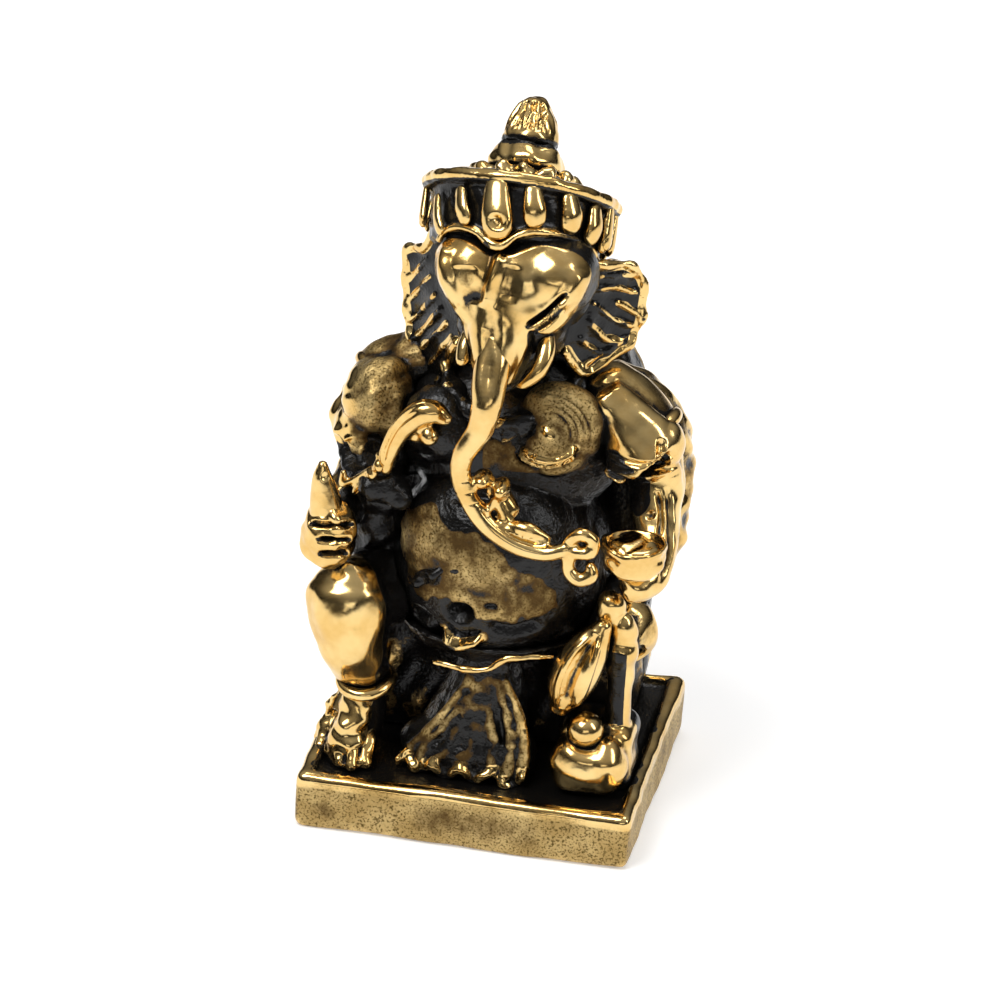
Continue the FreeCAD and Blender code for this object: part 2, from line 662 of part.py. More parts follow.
def armlets():
    """Rings round the upper arms, square to them."""
    rings = {
        "right": (Vector(0.3, 0.9, -0.1), Vector(-1.2, 0.7, -1.1), ("right_rear_arm", "right_front_arm")),
        "left": (Vector(-0.3, 0, 0), Vector(1.45, -0.3, -1.4), ("left_front_arm", "left_rear_arm")),
    }
    for side, (arm_top, middle, arm_pieces) in rings.items():
        ring = doc.addObject("Part::Torus", f"{side}_armlet_form")
        along = at(f"{side}_elbow") - at(f"{side}_shoulder") - arm_top
        ring.Placement.Rotation = Rotation(Vector(0, 0, 1), along)
        bind(ring, Radius1="Sizes.arm_radius - 0.05", Radius2="Sizes.armlet_bulge")
        place(ring, f"{side}_shoulder", str(middle.x), str(middle.y), str(middle.z))
        core(f"{side}_armlet", ring, [*arm_pieces, "torso"])


def right_hand():
    fist = ellipsoid("right_fist", "right_palm", "Sizes.fist_radius", "Sizes.fist_radius",
                     "Sizes.fist_radius + 0.35")
    core("right_hand", fist, ["right_front_arm", "torso"])
    pin("right_hand", "right_front_arm", at("right_palm"), at("right_palm", 0, 2.0, 0.1),
        "Sizes.hand_peg_radius")
    grip = at("right_palm")
    length = size("held_tusk_length")
    tusk = [grip + Vector(-0.05, 0, 1.0), grip + Vector(-0.25, 0, 0.8 + length / 2),
            grip + Vector(-0.35, 0, 0.5 + length)]
    core("broken_tusk", shaped("broken_tusk_form", limb(tusk, [0.55, 0.5, 0.25])), ["right_hand"])
    pin("broken_tusk", "right_hand", grip + Vector(-0.1, 0, 2.2), grip + Vector(-0.05, 0, 0.4),
        "Sizes.tusk_peg_radius")


def goad():
    """An elephant goad: a short bar whose head hooks over towards the trunk."""
    hand = at("right_elbow", 1.6, -2.7, -1.3)
    thick = size("goad_radius")
    bar = [hand + Vector(0.35, -0.6, -0.3), hand + Vector(0.45, -1.0, 1.4), hand + Vector(0.9, -1.1, 2.7),
           hand + Vector(1.6, -1.1, 3.4), hand + Vector(2.4, -1.1, 3.6)]
    core("goad", shaped("goad_form", limb(bar, [thick, thick, thick + 0.08, thick + 0.1, thick])),
         ["right_rear_arm"])


def noose():
    """The loose end of a rope, laid over the rear forearm."""
    hand = at("right_elbow", 1.6, -2.7, -1.3)
    cord = size("noose_cord")
    rope = [hand + Vector(0.1, -0.8, -0.5), hand + Vector(-0.7, -0.9, -0.7), hand + Vector(-1.5, -0.3, -0.5),
            hand + Vector(-2.1, 0.6, 0.2)]
    core("noose", shaped("noose_form", limb(rope, [cord, cord, cord, cord])),
         ["right_rear_arm", "right_front_arm", "right_hand", "goad", "torso"])


def sweets_bowl():
    inside = "Sizes.bowl_radius - Sizes.bowl_wall"
    bowl = turned("sweets_bowl_body", [
        ("0", "0"), ("Sizes.bowl_radius - 0.4", "0"), ("Sizes.bowl_radius", "0.5"),
        ("Sizes.bowl_radius", "Sizes.bowl_height"), (inside, "Sizes.bowl_height"),
        (inside, "Sizes.bowl_height - 0.5"), ("0", "Sizes.bowl_height - 0.5")])
    place(bowl, "left_palm")
    core("sweets_bowl", bowl, ["left_front_arm", "torso", "trunk"])
    pin("sweets_bowl", "left_front_arm", at("left_palm", 0.2, 0.5, 0.5), at("left_palm", 0.2, 0.6, -1.1),
        "Sizes.bowl_peg_radius")
    heap = [at("left_palm", 0, 0, size("bowl_height") - 0.2)]
    spread = size("bowl_radius") - size("bowl_wall") - size("sweet_radius")
    for turn in range(0, 360, 90):
        heap.append(heap[0] + Vector(spread * math.cos(math.radians(turn)),
                                     spread * math.sin(math.radians(turn)), -0.1))
    balls = [Part.makeSphere(size("sweet_radius") * 0.8, middle) for middle in heap]
    core("sweets", shaped("sweets_form", Part.makeCompound(balls)),
         ["sweets_bowl", "left_front_arm", "torso"])


# ---------------------------------------------------------------- legs

def legs():
    foot = at("right_foot")
    ball_of_foot = ellipsoid("right_foot_form", "right_foot", "Sizes.foot_width / 2",
                             "Sizes.foot_length / 2", "Sizes.foot_height")
    core("right_foot", ball_of_foot, ["plinth", "skirt"])
    hip = at("right_hip")
    knee = at("right_palm", 0.85, 0.5, -3.2)
    thick = size("leg_radius")
    ankle = size("ankle_radius")
    thigh = [hip, (hip + knee) * 0.5 + Vector(0, 0, 0.3), knee + Vector(0.1, 0.5, 0)]
    calf = [knee, knee + Vector(0.3, 0, -1.9), Vector(foot.x + 0.4, foot.y + 0.2, foot.z + 3.4),
            Vector(foot.x + 0.4, foot.y + 0.5, foot.z + 0.9)]
    forms = [shaped("right_thigh", limb(thigh, [thick, thick, thick - 0.1])),
             shaped("right_calf", limb(calf, [thick, thick - 0.3, ankle + 0.05, ankle]))]
    core("right_leg", fused("right_leg_form", forms),
         ["torso", "seat", "belt", "skirt", "right_hand", "right_front_arm", "right_foot", "plinth"])
    pin("right_leg", "torso", knee + Vector(0.5, 1.2, 0), hip + Vector(0.8, -0.5, 0.8))
    anklet = doc.addObject("Part::Torus", "right_anklet_form")
    bind(anklet, Radius1="Sizes.ankle_radius + 0.1", Radius2="Sizes.anklet_bulge")
    place(anklet, "right_foot", "0.4", "0.25", "2.7")
    core("right_anklet", anklet, ["right_leg", "skirt"])

    hip = at("left_hip")
    knee = Vector(size("belly_half_width") + 0.6, -1.1, at("seat_front").z + 0.4)
    folded = [hip, (hip + knee) * 0.5 + Vector(0.2, 0, 0.2), knee]
    core("left_leg", shaped("left_leg_form", limb(folded, [thick, thick, thick - 0.15])),
         ["torso", "seat", "belt", "left_rear_arm", "left_front_arm"])
    pin("left_leg", "torso", knee + Vector(-0.6, 0.6, 0), hip + Vector(-0.8, -0.5, 0.8))


# ---------------------------------------------------------------- mouse and beads

def mouse():
    foot = at("left_foot")
    wide = "Sizes.mouse_body_width"
    deep = "Sizes.mouse_body_depth"
    block = doc.addObject("Part::Box", "mouse_haunch")
    bind(block, Length=wide, Width=deep, Height="Sizes.mouse_body_height")
    place(block, "left_foot", f"1 - {wide}", "-0.2", "0")
    rounded = doc.addObject("Part::Fillet", "mouse_body_form")
    rounded.Base = block
    doc.recompute()
    rounded.Edges = [(i, 0.6, 0.6) for i, edge in enumerate(block.Shape.Edges, 1)
                     if edge.BoundBox.ZLength > 1 or edge.BoundBox.ZMin > block.Shape.BoundBox.ZMax - 0.01]
    top = foot.z + size("mouse_body_height")
    back = limb([Vector(foot.x + 0.1, foot.y + 0.9, top - 1.2),
                 Vector(foot.x + 0.25, foot.y + 0.7, top + 1.6),
                 Vector(foot.x + 0.2, foot.y + 0.5, top + 3.6)], [0.65, 0.5, 0.75])
    core("mouse_body", fused("mouse_body_whole", [rounded, shaped("mouse_back", back)]),
         ["plinth", "skirt", "seat", "torso", "left_leg"])
    pin("mouse_body", "plinth", foot + Vector(-0.7, 1.2, 0.8), foot + Vector(-0.7, 1.2, -size("peg_depth")))
    nose = Vector(foot.x - 1.75, foot.y, top + 0.7)
    line = [nose, Vector(nose.x + 0.5, nose.y + 0.15, nose.z + 1.5),
            Vector(nose.x + 1.0, nose.y + 0.4, nose.z + 2.9),
            Vector(nose.x + 1.3, nose.y + 0.7, nose.z + 4.2)]
    thick = size("mouse_head_radius")
    snout = shaped("mouse_head_form", limb(line, [0.55, thick, thick, 0.75]))
    core("mouse_head", snout, ["mouse_body", "torso", "left_leg"])
    core("mouse_sweet", ball("mouse_sweet_form", "left_foot", "Sizes.mouse_sweet_radius", "-0.9", "-0.35",
                             "Sizes.mouse_body_height + 0.05"), ["mouse_body", "mouse_head", "skirt"])


def sacred_thread():
    """A strand that slants over the top of the belly."""
    line = []
    middle = at("belly")
    for rise, side in ((40, 12), (31, 0), (22, -12), (13, -24), (4, -36)):
        up = math.radians(rise)
        across = math.radians(side)
        outward = Vector(math.cos(up) * math.sin(across), -math.cos(up) * math.cos(across), math.sin(up))
        belly = Vector(size("belly_half_width") * outward.x, size("belly_half_depth") * outward.y,
                       size("belly_half_height") * outward.z)
        line.append(middle + belly)
    strand = shaped("sacred_thread_form", limb(line, [size("bead_radius")] * len(line)))
    core("sacred_thread", strand, ["torso", "trunk"])


# ---------------------------------------------------------------- build and write

def check(pieces):
    """Stop if anything in the document failed, or a piece is empty, broken or unnamed."""
    failed = [item.Name for item in doc.Objects if "Invalid" in item.State or "Error" in item.State]
    if failed:
        raise RuntimeError(f"failed: {failed}")
    for name, solid in pieces.items():
        if solid.Shape.isNull() or not solid.Shape.isValid() or not solid.Shape.Solids:
            raise RuntimeError(f"{name} has no valid solid")


def build():
    fill_sheet()
    make_stations()
    for make in (plinth, seat, throne_back, torso, belt, skirt, head, trunk, tusks, crown, crown_jewels,
                 necklace, ears, arms, armlets, right_hand, goad, noose, sweets_bowl, legs, mouse,
                 sacred_thread):
        make()
        doc.recompute()
    pieces = finish_pieces()
    doc.recompute()
    check(pieces)
    os.makedirs("parts", exist_ok=True)
    for name, solid in pieces.items():
        solid.Shape.exportStep(f"parts/{name}.step")
        print(f"{name}: {len(solid.Shape.Solids)} solid(s), {solid.Shape.Volume:.3f} mm3")


build()
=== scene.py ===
import math
import random

import bmesh
import bpy
import numpy as np
from mathutils import Matrix, Vector
from mathutils.bvhtree import BVHTree


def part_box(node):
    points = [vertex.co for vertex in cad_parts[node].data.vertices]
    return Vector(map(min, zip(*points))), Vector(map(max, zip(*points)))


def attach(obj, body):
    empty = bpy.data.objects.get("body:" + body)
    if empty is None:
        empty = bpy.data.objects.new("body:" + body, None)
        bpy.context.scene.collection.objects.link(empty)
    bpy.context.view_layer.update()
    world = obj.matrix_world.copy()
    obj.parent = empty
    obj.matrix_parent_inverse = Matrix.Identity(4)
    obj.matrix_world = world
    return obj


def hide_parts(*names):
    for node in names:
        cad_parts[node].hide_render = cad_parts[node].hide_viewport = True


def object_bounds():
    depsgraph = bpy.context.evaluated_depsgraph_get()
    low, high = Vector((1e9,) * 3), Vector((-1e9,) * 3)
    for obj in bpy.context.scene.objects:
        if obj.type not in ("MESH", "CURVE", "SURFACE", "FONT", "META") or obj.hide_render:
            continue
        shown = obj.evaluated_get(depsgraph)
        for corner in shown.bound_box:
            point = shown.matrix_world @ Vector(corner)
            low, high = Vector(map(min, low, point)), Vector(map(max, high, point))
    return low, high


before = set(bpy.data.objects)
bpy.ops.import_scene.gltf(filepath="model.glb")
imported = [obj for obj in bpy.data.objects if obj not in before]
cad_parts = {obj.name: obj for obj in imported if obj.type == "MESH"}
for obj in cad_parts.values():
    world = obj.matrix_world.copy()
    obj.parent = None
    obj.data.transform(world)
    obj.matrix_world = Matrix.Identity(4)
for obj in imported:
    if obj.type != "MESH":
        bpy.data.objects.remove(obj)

# A seated elephant-headed deity in gilded, blackened brass.
# Pieces are modelled in millimetres about the plinth's underside, facing -Y,
# and each is brought down to metres when it is finished.

MM = 0.001
SKIN = 0.1  # how finely a welded skin is divided
cad_low, cad_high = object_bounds()
random.seed(7)


def millimetres(node):
    """A node's lowest and highest corner, in millimetres."""
    low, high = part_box(node)
    return Vector(low) / MM, Vector(high) / MM


# ---------------------------------------------------------------- modelling helpers

def clear():
    bpy.ops.object.select_all(action="DESELECT")


def only(piece):
    clear()
    piece.select_set(True)
    bpy.context.view_layer.objects.active = piece


def settle(piece):
    only(piece)
    bpy.ops.object.transform_apply(location=True, rotation=True, scale=True)


def blob(at, radii, turn=(0, 0, 0), segments=32):
    """A ball pulled to three radii, turned in degrees."""
    clear()
    radii = (radii,) * 3 if isinstance(radii, (int, float)) else radii
    angles = [math.radians(angle) for angle in turn]
    bpy.ops.mesh.primitive_uv_sphere_add(segments=segments, ring_count=segments // 2, radius=1,
                                         location=at, rotation=angles)
    ball = bpy.context.object
    ball.scale = radii
    settle(ball)
    return ball


def block(low, high, bevel):
    """A box between two corners with rounded edges."""
    clear()
    middle = [(a + b) / 2 for a, b in zip(low, high)]
    bpy.ops.mesh.primitive_cube_add(size=1, location=middle)
    box = bpy.context.object
    box.scale = [b - a for a, b in zip(low, high)]
    settle(box)
    bpy.ops.object.mode_set(mode="EDIT")
    bpy.ops.mesh.select_all(action="SELECT")
    bpy.ops.mesh.bevel(offset=bevel, segments=3, affect="EDGES")
    bpy.ops.object.mode_set(mode="OBJECT")
    return box


def linked(data):
    """A new object for a mesh."""
    form = bpy.data.objects.new("form", data)
    bpy.context.collection.objects.link(form)
    return form


def formed(mesh, place=None):
    """A new object from a finished bmesh, carried to its place."""
    data = bpy.data.meshes.new("form")
    mesh.to_mesh(data)
    mesh.free()
    if place is not None:
        data.transform(place)
    return linked(data)


def through(points, per_span=8):
    """Points along a smooth line through the given ones; each may carry radii after its place."""
    rows = np.array(points, float)
    ends = np.vstack([2 * rows[0] - rows[1], rows, 2 * rows[-1] - rows[-2]])
    line = []
    for i in range(1, len(ends) - 2):
        a, b, c, d = ends[i - 1:i + 3]
        for t in np.linspace(0, 1, per_span, endpoint=False):
            line.append(0.5 * (2 * b + (c - a) * t + (2 * a - 5 * b + 4 * c - d) * t ** 2
                               + (3 * b - a - 3 * c + d) * t ** 3))
    line.append(rows[-1])
    return np.array(line)


def tube(points, per_span=8, sides=20, flat=1.0, flat_way=None):
    """A round-ended limb through (x, y, z, radius) points; flat squeezes it along flat_way."""
    line = through(points, per_span)
    places = [Vector(row[:3]) for row in line]
    thick = [max(row[3], 0.02) for row in line]
    mesh = bmesh.new()
    tangents = [(places[min(i + 1, len(places) - 1)] - places[max(i - 1, 0)]).normalized()
                for i in range(len(places))]
    side = tangents[0].orthogonal().normalized() if flat_way is None else Vector(flat_way)
    stations = []
    for angle in (80, 55, 28):
        a = math.radians(angle)
        stations.append((places[0] - tangents[0] * thick[0] * math.sin(a), tangents[0],
                         thick[0] * math.cos(a)))
    stations += list(zip(places, tangents, thick))
    for angle in (28, 55, 80):
        a = math.radians(angle)
        stations.append((places[-1] + tangents[-1] * thick[-1] * math.sin(a), tangents[-1],
                         thick[-1] * math.cos(a)))
    rings = []
    for place, tangent, radius in stations:
        side = (side - tangent * side.dot(tangent)).normalized()
        other = tangent.cross(side)
        ring = []
        for k in range(sides):
            turn = math.tau * k / sides
            ring.append(mesh.verts.new(place + side * (radius * flat * math.cos(turn))
                                       + other * (radius * math.sin(turn))))
        rings.append(ring)
    for low, high in zip(rings, rings[1:]):
        for k in range(sides):
            mesh.faces.new((low[k], low[(k + 1) % sides], high[(k + 1) % sides], high[k]))
    mesh.faces.new(rings[0][::-1])
    mesh.faces.new(rings[-1])
    return formed(mesh)


def taken(name):
    """A free copy of a CAD piece in millimetres, its loose triangles merged."""
    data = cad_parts[name].data.copy()
    data.materials.clear()
    data.transform(Matrix.Scale(1 / MM, 4))
    mesh = bmesh.new()
    mesh.from_mesh(data)
    bmesh.ops.remove_doubles(mesh, verts=mesh.verts, dist=0.002)
    mesh.to_mesh(data)
    mesh.free()
    return linked(data)


def lathe(profile, at=(0, 0, 0), lean=0.0, segments=64):
    """A turned form from (radius, height) pairs, tipped back by lean degrees about its foot."""
    mesh = bmesh.new()
    rings = []
    for radius, height in profile:
        if radius < 1e-6:
            rings.append([mesh.verts.new((0, 0, height))])
            continue
        rings.append([mesh.verts.new((radius * math.cos(math.tau * k / segments),
                                      radius * math.sin(math.tau * k / segments), height))
                      for k in range(segments)])
    for low, high in zip(rings, rings[1:]):
        for k in range(segments):
            corners = [low[k % len(low)], low[(k + 1) % len(low)], high[(k + 1) % len(high)],
                       high[k % len(high)]]
            mesh.faces.new(list(dict.fromkeys(corners)))
    for ring in (rings[0][::-1], rings[-1]):
        if len(ring) > 1:
            mesh.faces.new(ring)
    bmesh.ops.recalc_face_normals(mesh, faces=mesh.faces)
    return formed(mesh, Matrix.Translation(at) @ Matrix.Rotation(math.radians(-lean), 4, "X"))


def plate(outline, thick, at, turn):
    """A flat leaf from (across, up) points, thick towards +Y, turned in degrees about its own upright."""
    mesh = bmesh.new()
    front = [mesh.verts.new((x, 0, z)) for x, z in outline]
    back = [mesh.verts.new((x, thick, z)) for x, z in outline]
    count = len(outline)
    mesh.faces.new(front)
    mesh.faces.new(back[::-1])
    for k in range(count):
        mesh.faces.new((front[k], back[k], back[(k + 1) % count], front[(k + 1) % count]))
    bmesh.ops.recalc_face_normals(mesh, faces=mesh.faces)
    return formed(mesh, Matrix.Translation(at) @ Matrix.Rotation(math.radians(turn), 4, "Z"))


def closed_line(points, per_span):
    """A smooth closed loop through points."""
    rows = [points[-1]] + list(points) + [points[0], points[1]]
    return through(rows, per_span)[per_span:-per_span - 1]


def apply(piece, kind, **settings):
    """Give a piece one modifier and apply it."""
    only(piece)
    step = piece.modifiers.new(kind.lower(), kind)
    for name, value in settings.items():
        setattr(step, name, value)
    bpy.ops.object.modifier_apply(modifier=step.name)


def weld(forms, smooth, voxel=SKIN):
    """Join forms into one closed skin, as the wax of a pattern is melted together."""
    clear()
    for form in forms:
        form.select_set(True)
    bpy.context.view_layer.objects.active = forms[0]
    if len(forms) > 1:
        bpy.ops.object.join()
    body = bpy.context.object
    settle(body)
    apply(body, "REMESH", mode="VOXEL", voxel_size=voxel)
    if smooth:
        apply(body, "SMOOTH", factor=0.5, iterations=smooth)
    return body


def softened(name, smooth, *unevenness, voxel=SKIN):
    """A CAD form with its edges melted, then its skin rumpled by each (size, depth, seed)."""
    body = weld([taken(name)], smooth, voxel)
    for size, depth, seed in unevenness:
        rumple(body, size, depth, seed)
    return body


def carved(body, cutter):
    """Cut one form out of another."""
    apply(body, "BOOLEAN", operation="DIFFERENCE", solver="EXACT", object=cutter)
    bpy.data.objects.remove(cutter)
    return body


# ---------------------------------------------------------------- sculpting strokes

def fade(values):
    """Values held between 0 and 1, for soft edges."""
    return np.clip(values, 0, 1)


def eased(share):
    """A straight slope from 0 to 1 made an S."""
    return share * share * (3 - 2 * share)


def places_of(piece):
    flat = np.empty(len(piece.data.vertices) * 3)
    piece.data.vertices.foreach_get("co", flat)
    return flat.reshape(-1, 3)


def normals_of(piece):
    flat = np.empty(len(piece.data.vertices) * 3)
    piece.data.vertices.foreach_get("normal", flat)
    return flat.reshape(-1, 3)


def move_to(piece, places):
    piece.data.vertices.foreach_set("co", places.ravel())
    piece.data.update()


def distance_to_line(places, line):
    """Each place's distance to a polyline, and how far along it the nearest point is, 0 to 1."""
    line = np.array(line, float)[:, :3]
    near = np.full(len(places), 1e9)
    along = np.zeros(len(places))
    count = len(line) - 1
    for i in range(count):
        a, b = line[i], line[i + 1]
        span = b - a
        t = fade(((places - a) @ span) / max(span @ span, 1e-12))
        gap = np.linalg.norm(places - a - t[:, None] * span, axis=1)
        closer = gap < near
        near[closer] = gap[closer]
        along[closer] = (i + t[closer]) / count
    return near, along


def stroke(piece, points, width, depth, taper=0.15):
    """Press (depth > 0) or raise (depth < 0) the skin along a line, as a modelling tool does."""
    places = places_of(piece)
    near, along = distance_to_line(places, through(points, 6))
    ends = fade(np.minimum(along, 1 - along) / taper)
    move_to(piece, places - normals_of(piece) * (eased(fade(1 - near / width)) * ends * depth)[:, None])


def dent(piece, at, width, depth):
    """Press a round hollow."""
    places = places_of(piece)
    shape = eased(fade(1 - np.linalg.norm(places - np.array(at), axis=1) / width))
    move_to(piece, places - normals_of(piece) * (shape * depth)[:, None])


def lumps(places, size, seed):
    """Smooth unevenness between about -1 and 1, with lumps of a given size in millimetres."""
    waves = random.Random(seed)
    total = np.zeros(len(places))
    for _ in range(14):
        way = Vector((waves.gauss(0, 1), waves.gauss(0, 1), waves.gauss(0, 1))).normalized()
        pace = math.tau / (size * waves.uniform(1.1, 3.2))
        total += np.sin(places @ np.array(way) * pace + waves.uniform(0, math.tau))
    return total / 4.2


def rumple(piece, size, depth, seed):
    """Uneven, hand-worked skin: lumps of a given size in millimetres."""
    places = places_of(piece)
    lift = lumps(places, size, seed)
    move_to(piece, places + normals_of(piece) * (lift * depth)[:, None])


# how far forward the lines on each part are drawn
FACE, EARS, BREAST, BELLY, LAP, NAVEL, CURL = -3.6, -0.8, -3.2, -4.2, -4.3, -4.4, -5.5
CROWN_FRONT, KNUCKLES, GOAD_FRONT, SLEEVE, SNOUT, HAUNCH = -3.3, -5.0, -3.4, -1.8, -4.4, -5.0

# how far a place slides across and up as it is brought forward along the figure's best view
ASIDE, ABOVE = 0.172, 0.503
BEST_VIEW = np.array((0.152, -0.883, 0.444))


def seen(places, plane):
    """Places slid along the best view to one depth, as (across, up) pairs."""
    ahead = places[:, 1] - plane
    return np.stack((places[:, 0] + ASIDE * ahead, places[:, 2] + ABOVE * ahead), 1)


def flat_line(points):
    rows = through(points, 6) if len(points) > 2 else np.array(points, float)
    return np.insert(rows[:, :2], 1, 0.0, axis=1)


def trace(piece, points, plane, width, depth, taper=0.15):
    """Press (depth > 0) or raise the skin along (across, up) points, as it shows from the best view."""
    places, normals = places_of(piece), normals_of(piece)
    near, along = distance_to_line(np.insert(seen(places, plane), 1, 0.0, axis=1), flat_line(points))
    shape = eased(fade(1 - near / width)) * fade(normals @ BEST_VIEW * 3)
    ends = fade(np.minimum(along, 1 - along) / taper) if taper else 1
    move_to(piece, places - normals * (shape * ends * depth)[:, None])


def gap_to(places, lines, plane):
    """How far places show from the nearest of several drawn lines."""
    flat = np.insert(seen(places, plane), 1, 0.0, axis=1)
    return np.min([distance_to_line(flat, flat_line(line))[0] for line in lines], axis=0)


def within(places, outline, plane):
    """How far inside a closed outline each place shows; negative outside."""
    flat = seen(places, plane)
    gap = np.full(len(flat), 1e9)
    inside = np.zeros(len(flat), bool)
    for (x1, z1), (x2, z2) in zip(outline, np.roll(outline, -1, axis=0)):
        span = np.array((x2 - x1, z2 - z1))
        t = fade((flat - (x1, z1)) @ span / max(span @ span, 1e-12))
        gap = np.minimum(gap, np.linalg.norm(flat - (x1, z1) - t[:, None] * span, axis=1))
        rise = z2 - z1 if z2 != z1 else 1e-9
        crosses = (z1 > flat[:, 1]) != (z2 > flat[:, 1])
        inside ^= crosses & (flat[:, 0] < x1 + (flat[:, 1] - z1) * (x2 - x1) / rise)
    return np.where(inside, gap, -gap)


def finer(piece):
    """Split every face in four, for marks finer than the skin."""
    apply(piece, "SUBSURF", subdivision_type="CATMULL_CLARK", levels=1, render_levels=1)


def traces(piece, plane, *marks):
    """Several traces at one depth, each (points, width, depth) and perhaps taper."""
    for mark in marks:
        trace(piece, mark[0], plane, *mark[1:])


# ---------------------------------------------------------------- metal

GOLD = (0.70, 0.44, 0.14, 1)
PALE_GOLD = (0.82, 0.59, 0.25, 1)
CAST_GOLD = (0.44, 0.30, 0.11, 1)
WORN_GOLD = (0.60, 0.44, 0.19, 1)
DEEP_GOLD = (0.13, 0.085, 0.028, 1)
BROWN = (0.10, 0.058, 0.020, 1)
BLACKING = (0.005, 0.0045, 0.004, 1)


def node(tree, kind, **values):
    made = tree.nodes.new(kind)
    for name, value in values.items():
        if hasattr(made, name):
            setattr(made, name, value)
        else:
            made.inputs[name.replace("_", " ")].default_value = value
    return made


def ramp(tree, source, low, high):
    """0 below low, 1 above high."""
    step = node(tree, "ShaderNodeMapRange", clamp=True, interpolation_type="SMOOTHSTEP")
    tree.links.new(source, step.inputs["Value"])
    step.inputs["From Min"].default_value = low
    step.inputs["From Max"].default_value = high
    return step.outputs["Result"]


def maths(tree, kind, first, second):
    step = node(tree, "ShaderNodeMath", operation=kind)
    for socket, value in zip(step.inputs, (first, second)):
        if isinstance(value, (int, float)):
            socket.default_value = value
        else:
            tree.links.new(value, socket)
    return step.outputs["Value"]


def blend_colours(tree, share, first, second):
    mix = node(tree, "ShaderNodeMix", data_type="RGBA")
    tree.links.new(share, mix.inputs[0])
    for socket, value in ((mix.inputs[6], first), (mix.inputs[7], second)):
        if isinstance(value, tuple):
            socket.default_value = value
        else:
            tree.links.new(value, socket)
    return mix.outputs[2]


def blend_values(tree, share, first, second):
    mix = node(tree, "ShaderNodeMix", data_type="FLOAT")
    tree.links.new(share, mix.inputs[0])
    mix.inputs[2].default_value = first
    tree.links.new(second, mix.inputs[3])
    return mix.outputs[0]


def gilded_brass(name, polish, blacking, grain, seed):
    """Gold-plated cast brass: black patina where the skin is sheltered, satin pitted metal on the
    faces that were not buffed, and polished metal where they were.

    The pieces carry four attributes: "open" and "fine_open", 0 in a hollow and 1 on a spike,
    and "buffed" and "stained", painted on piece by piece."""
    metal = bpy.data.materials.new(name)
    metal.use_nodes = True
    tree = metal.node_tree
    tree.nodes.clear()
    out = node(tree, "ShaderNodeOutputMaterial")
    shader = node(tree, "ShaderNodeBsdfPrincipled")
    tree.links.new(shader.outputs[0], out.inputs[0])

    place = node(tree, "ShaderNodeTexCoord").outputs["Object"]
    scale = node(tree, "ShaderNodeVectorMath", operation="MULTIPLY_ADD")
    tree.links.new(place, scale.inputs[0])
    scale.inputs[1].default_value = (1 / MM,) * 3
    scale.inputs[2].default_value = (seed, seed * 0.7, seed * 1.3)
    skin = scale.outputs[0]

    def texture(size, detail, rough):
        step = node(tree, "ShaderNodeTexNoise", Scale=1 / size, Detail=detail, Roughness=rough)
        tree.links.new(skin, step.inputs["Vector"])
        return step.outputs["Fac"]

    def painted(label):
        return node(tree, "ShaderNodeAttribute", attribute_name=label).outputs["Fac"]

    def times(value, factor):
        return maths(tree, "MULTIPLY", value, factor)

    def plus(first, second):
        return maths(tree, "ADD", first, second)

    pits = node(tree, "ShaderNodeTexVoronoi", Scale=1 / 0.16)
    tree.links.new(skin, pits.inputs["Vector"])
    patches = texture(1.6, 5.0, 0.6)
    ragged = texture(0.32, 5.0, 0.65)
    fine = texture(0.10, 3.0, 0.6)

    # how proud the skin stands: broad form, fine marks, then the painted black, which is patina and, on the
    # head, painted shade
    proud = plus(times(painted("open"), 0.55), times(painted("fine_open"), 0.45))
    height = plus(proud, times(plus(ragged, -0.5), 0.16))
    height = plus(height, times(painted("patina_and_shade"), -0.45))
    bare = ramp(tree, height, blacking - 0.025, blacking + 0.025)

    # polished where buffed and proud, satin elsewhere
    worn = plus(times(painted("buffed"), polish), times(plus(patches, -0.5), 0.5))
    worn = plus(worn, times(plus(proud, -0.5), 1.5))
    bright = ramp(tree, worn, 0.3, 0.62)

    satin = blend_colours(tree, ramp(tree, patches, 0.35, 0.7), CAST_GOLD, WORN_GOLD)
    satin = blend_colours(tree, ramp(tree, fine, 0.36, 0.52), DEEP_GOLD, satin)
    gold = blend_colours(tree, ramp(tree, patches, 0.3, 0.7), GOLD, PALE_GOLD)
    metal_colour = blend_colours(tree, bright, satin, gold)
    clean = plus(height, times(plus(patches, -0.5), 0.22))
    clean = plus(clean, times(plus(bright, -0.5), 0.06))
    clean = ramp(tree, clean, blacking - 0.02, blacking + 0.12)
    metal_colour = blend_colours(tree, clean, BROWN, metal_colour)
    tree.links.new(blend_colours(tree, bare, BLACKING, metal_colour), shader.inputs["Base Color"])
    tree.links.new(bare, shader.inputs["Metallic"])
    shader.inputs["Specular IOR Level"].default_value = 0.3

    rough = plus(times(bright, -0.28 * grain - 0.14), 0.30 + 0.18 * grain)
    rough = plus(rough, times(fine, 0.08))
    tree.links.new(blend_values(tree, bare, 0.17, rough), shader.inputs["Roughness"])

    grainy = plus(times(fine, 0.5), times(pits.outputs["Distance"], 0.4))
    grainy = times(grainy, plus(times(maths(tree, "MULTIPLY", bright, bare), -0.92), 1.0))
    grainy = plus(grainy, times(ragged, 0.10))
    bump = node(tree, "ShaderNodeBump", Strength=0.7 * grain + 0.1, Distance=0.06 * MM)
    tree.links.new(grainy, bump.inputs["Height"])
    tree.links.new(bump.outputs[0], shader.inputs["Normal"])
    return metal


# ---------------------------------------------------------------- finishing a piece

MADE = []


def paint(piece, label, values):
    layer = piece.data.attributes.new(label, "FLOAT", "POINT")
    layer.data.foreach_set("value", values.astype(np.float32))


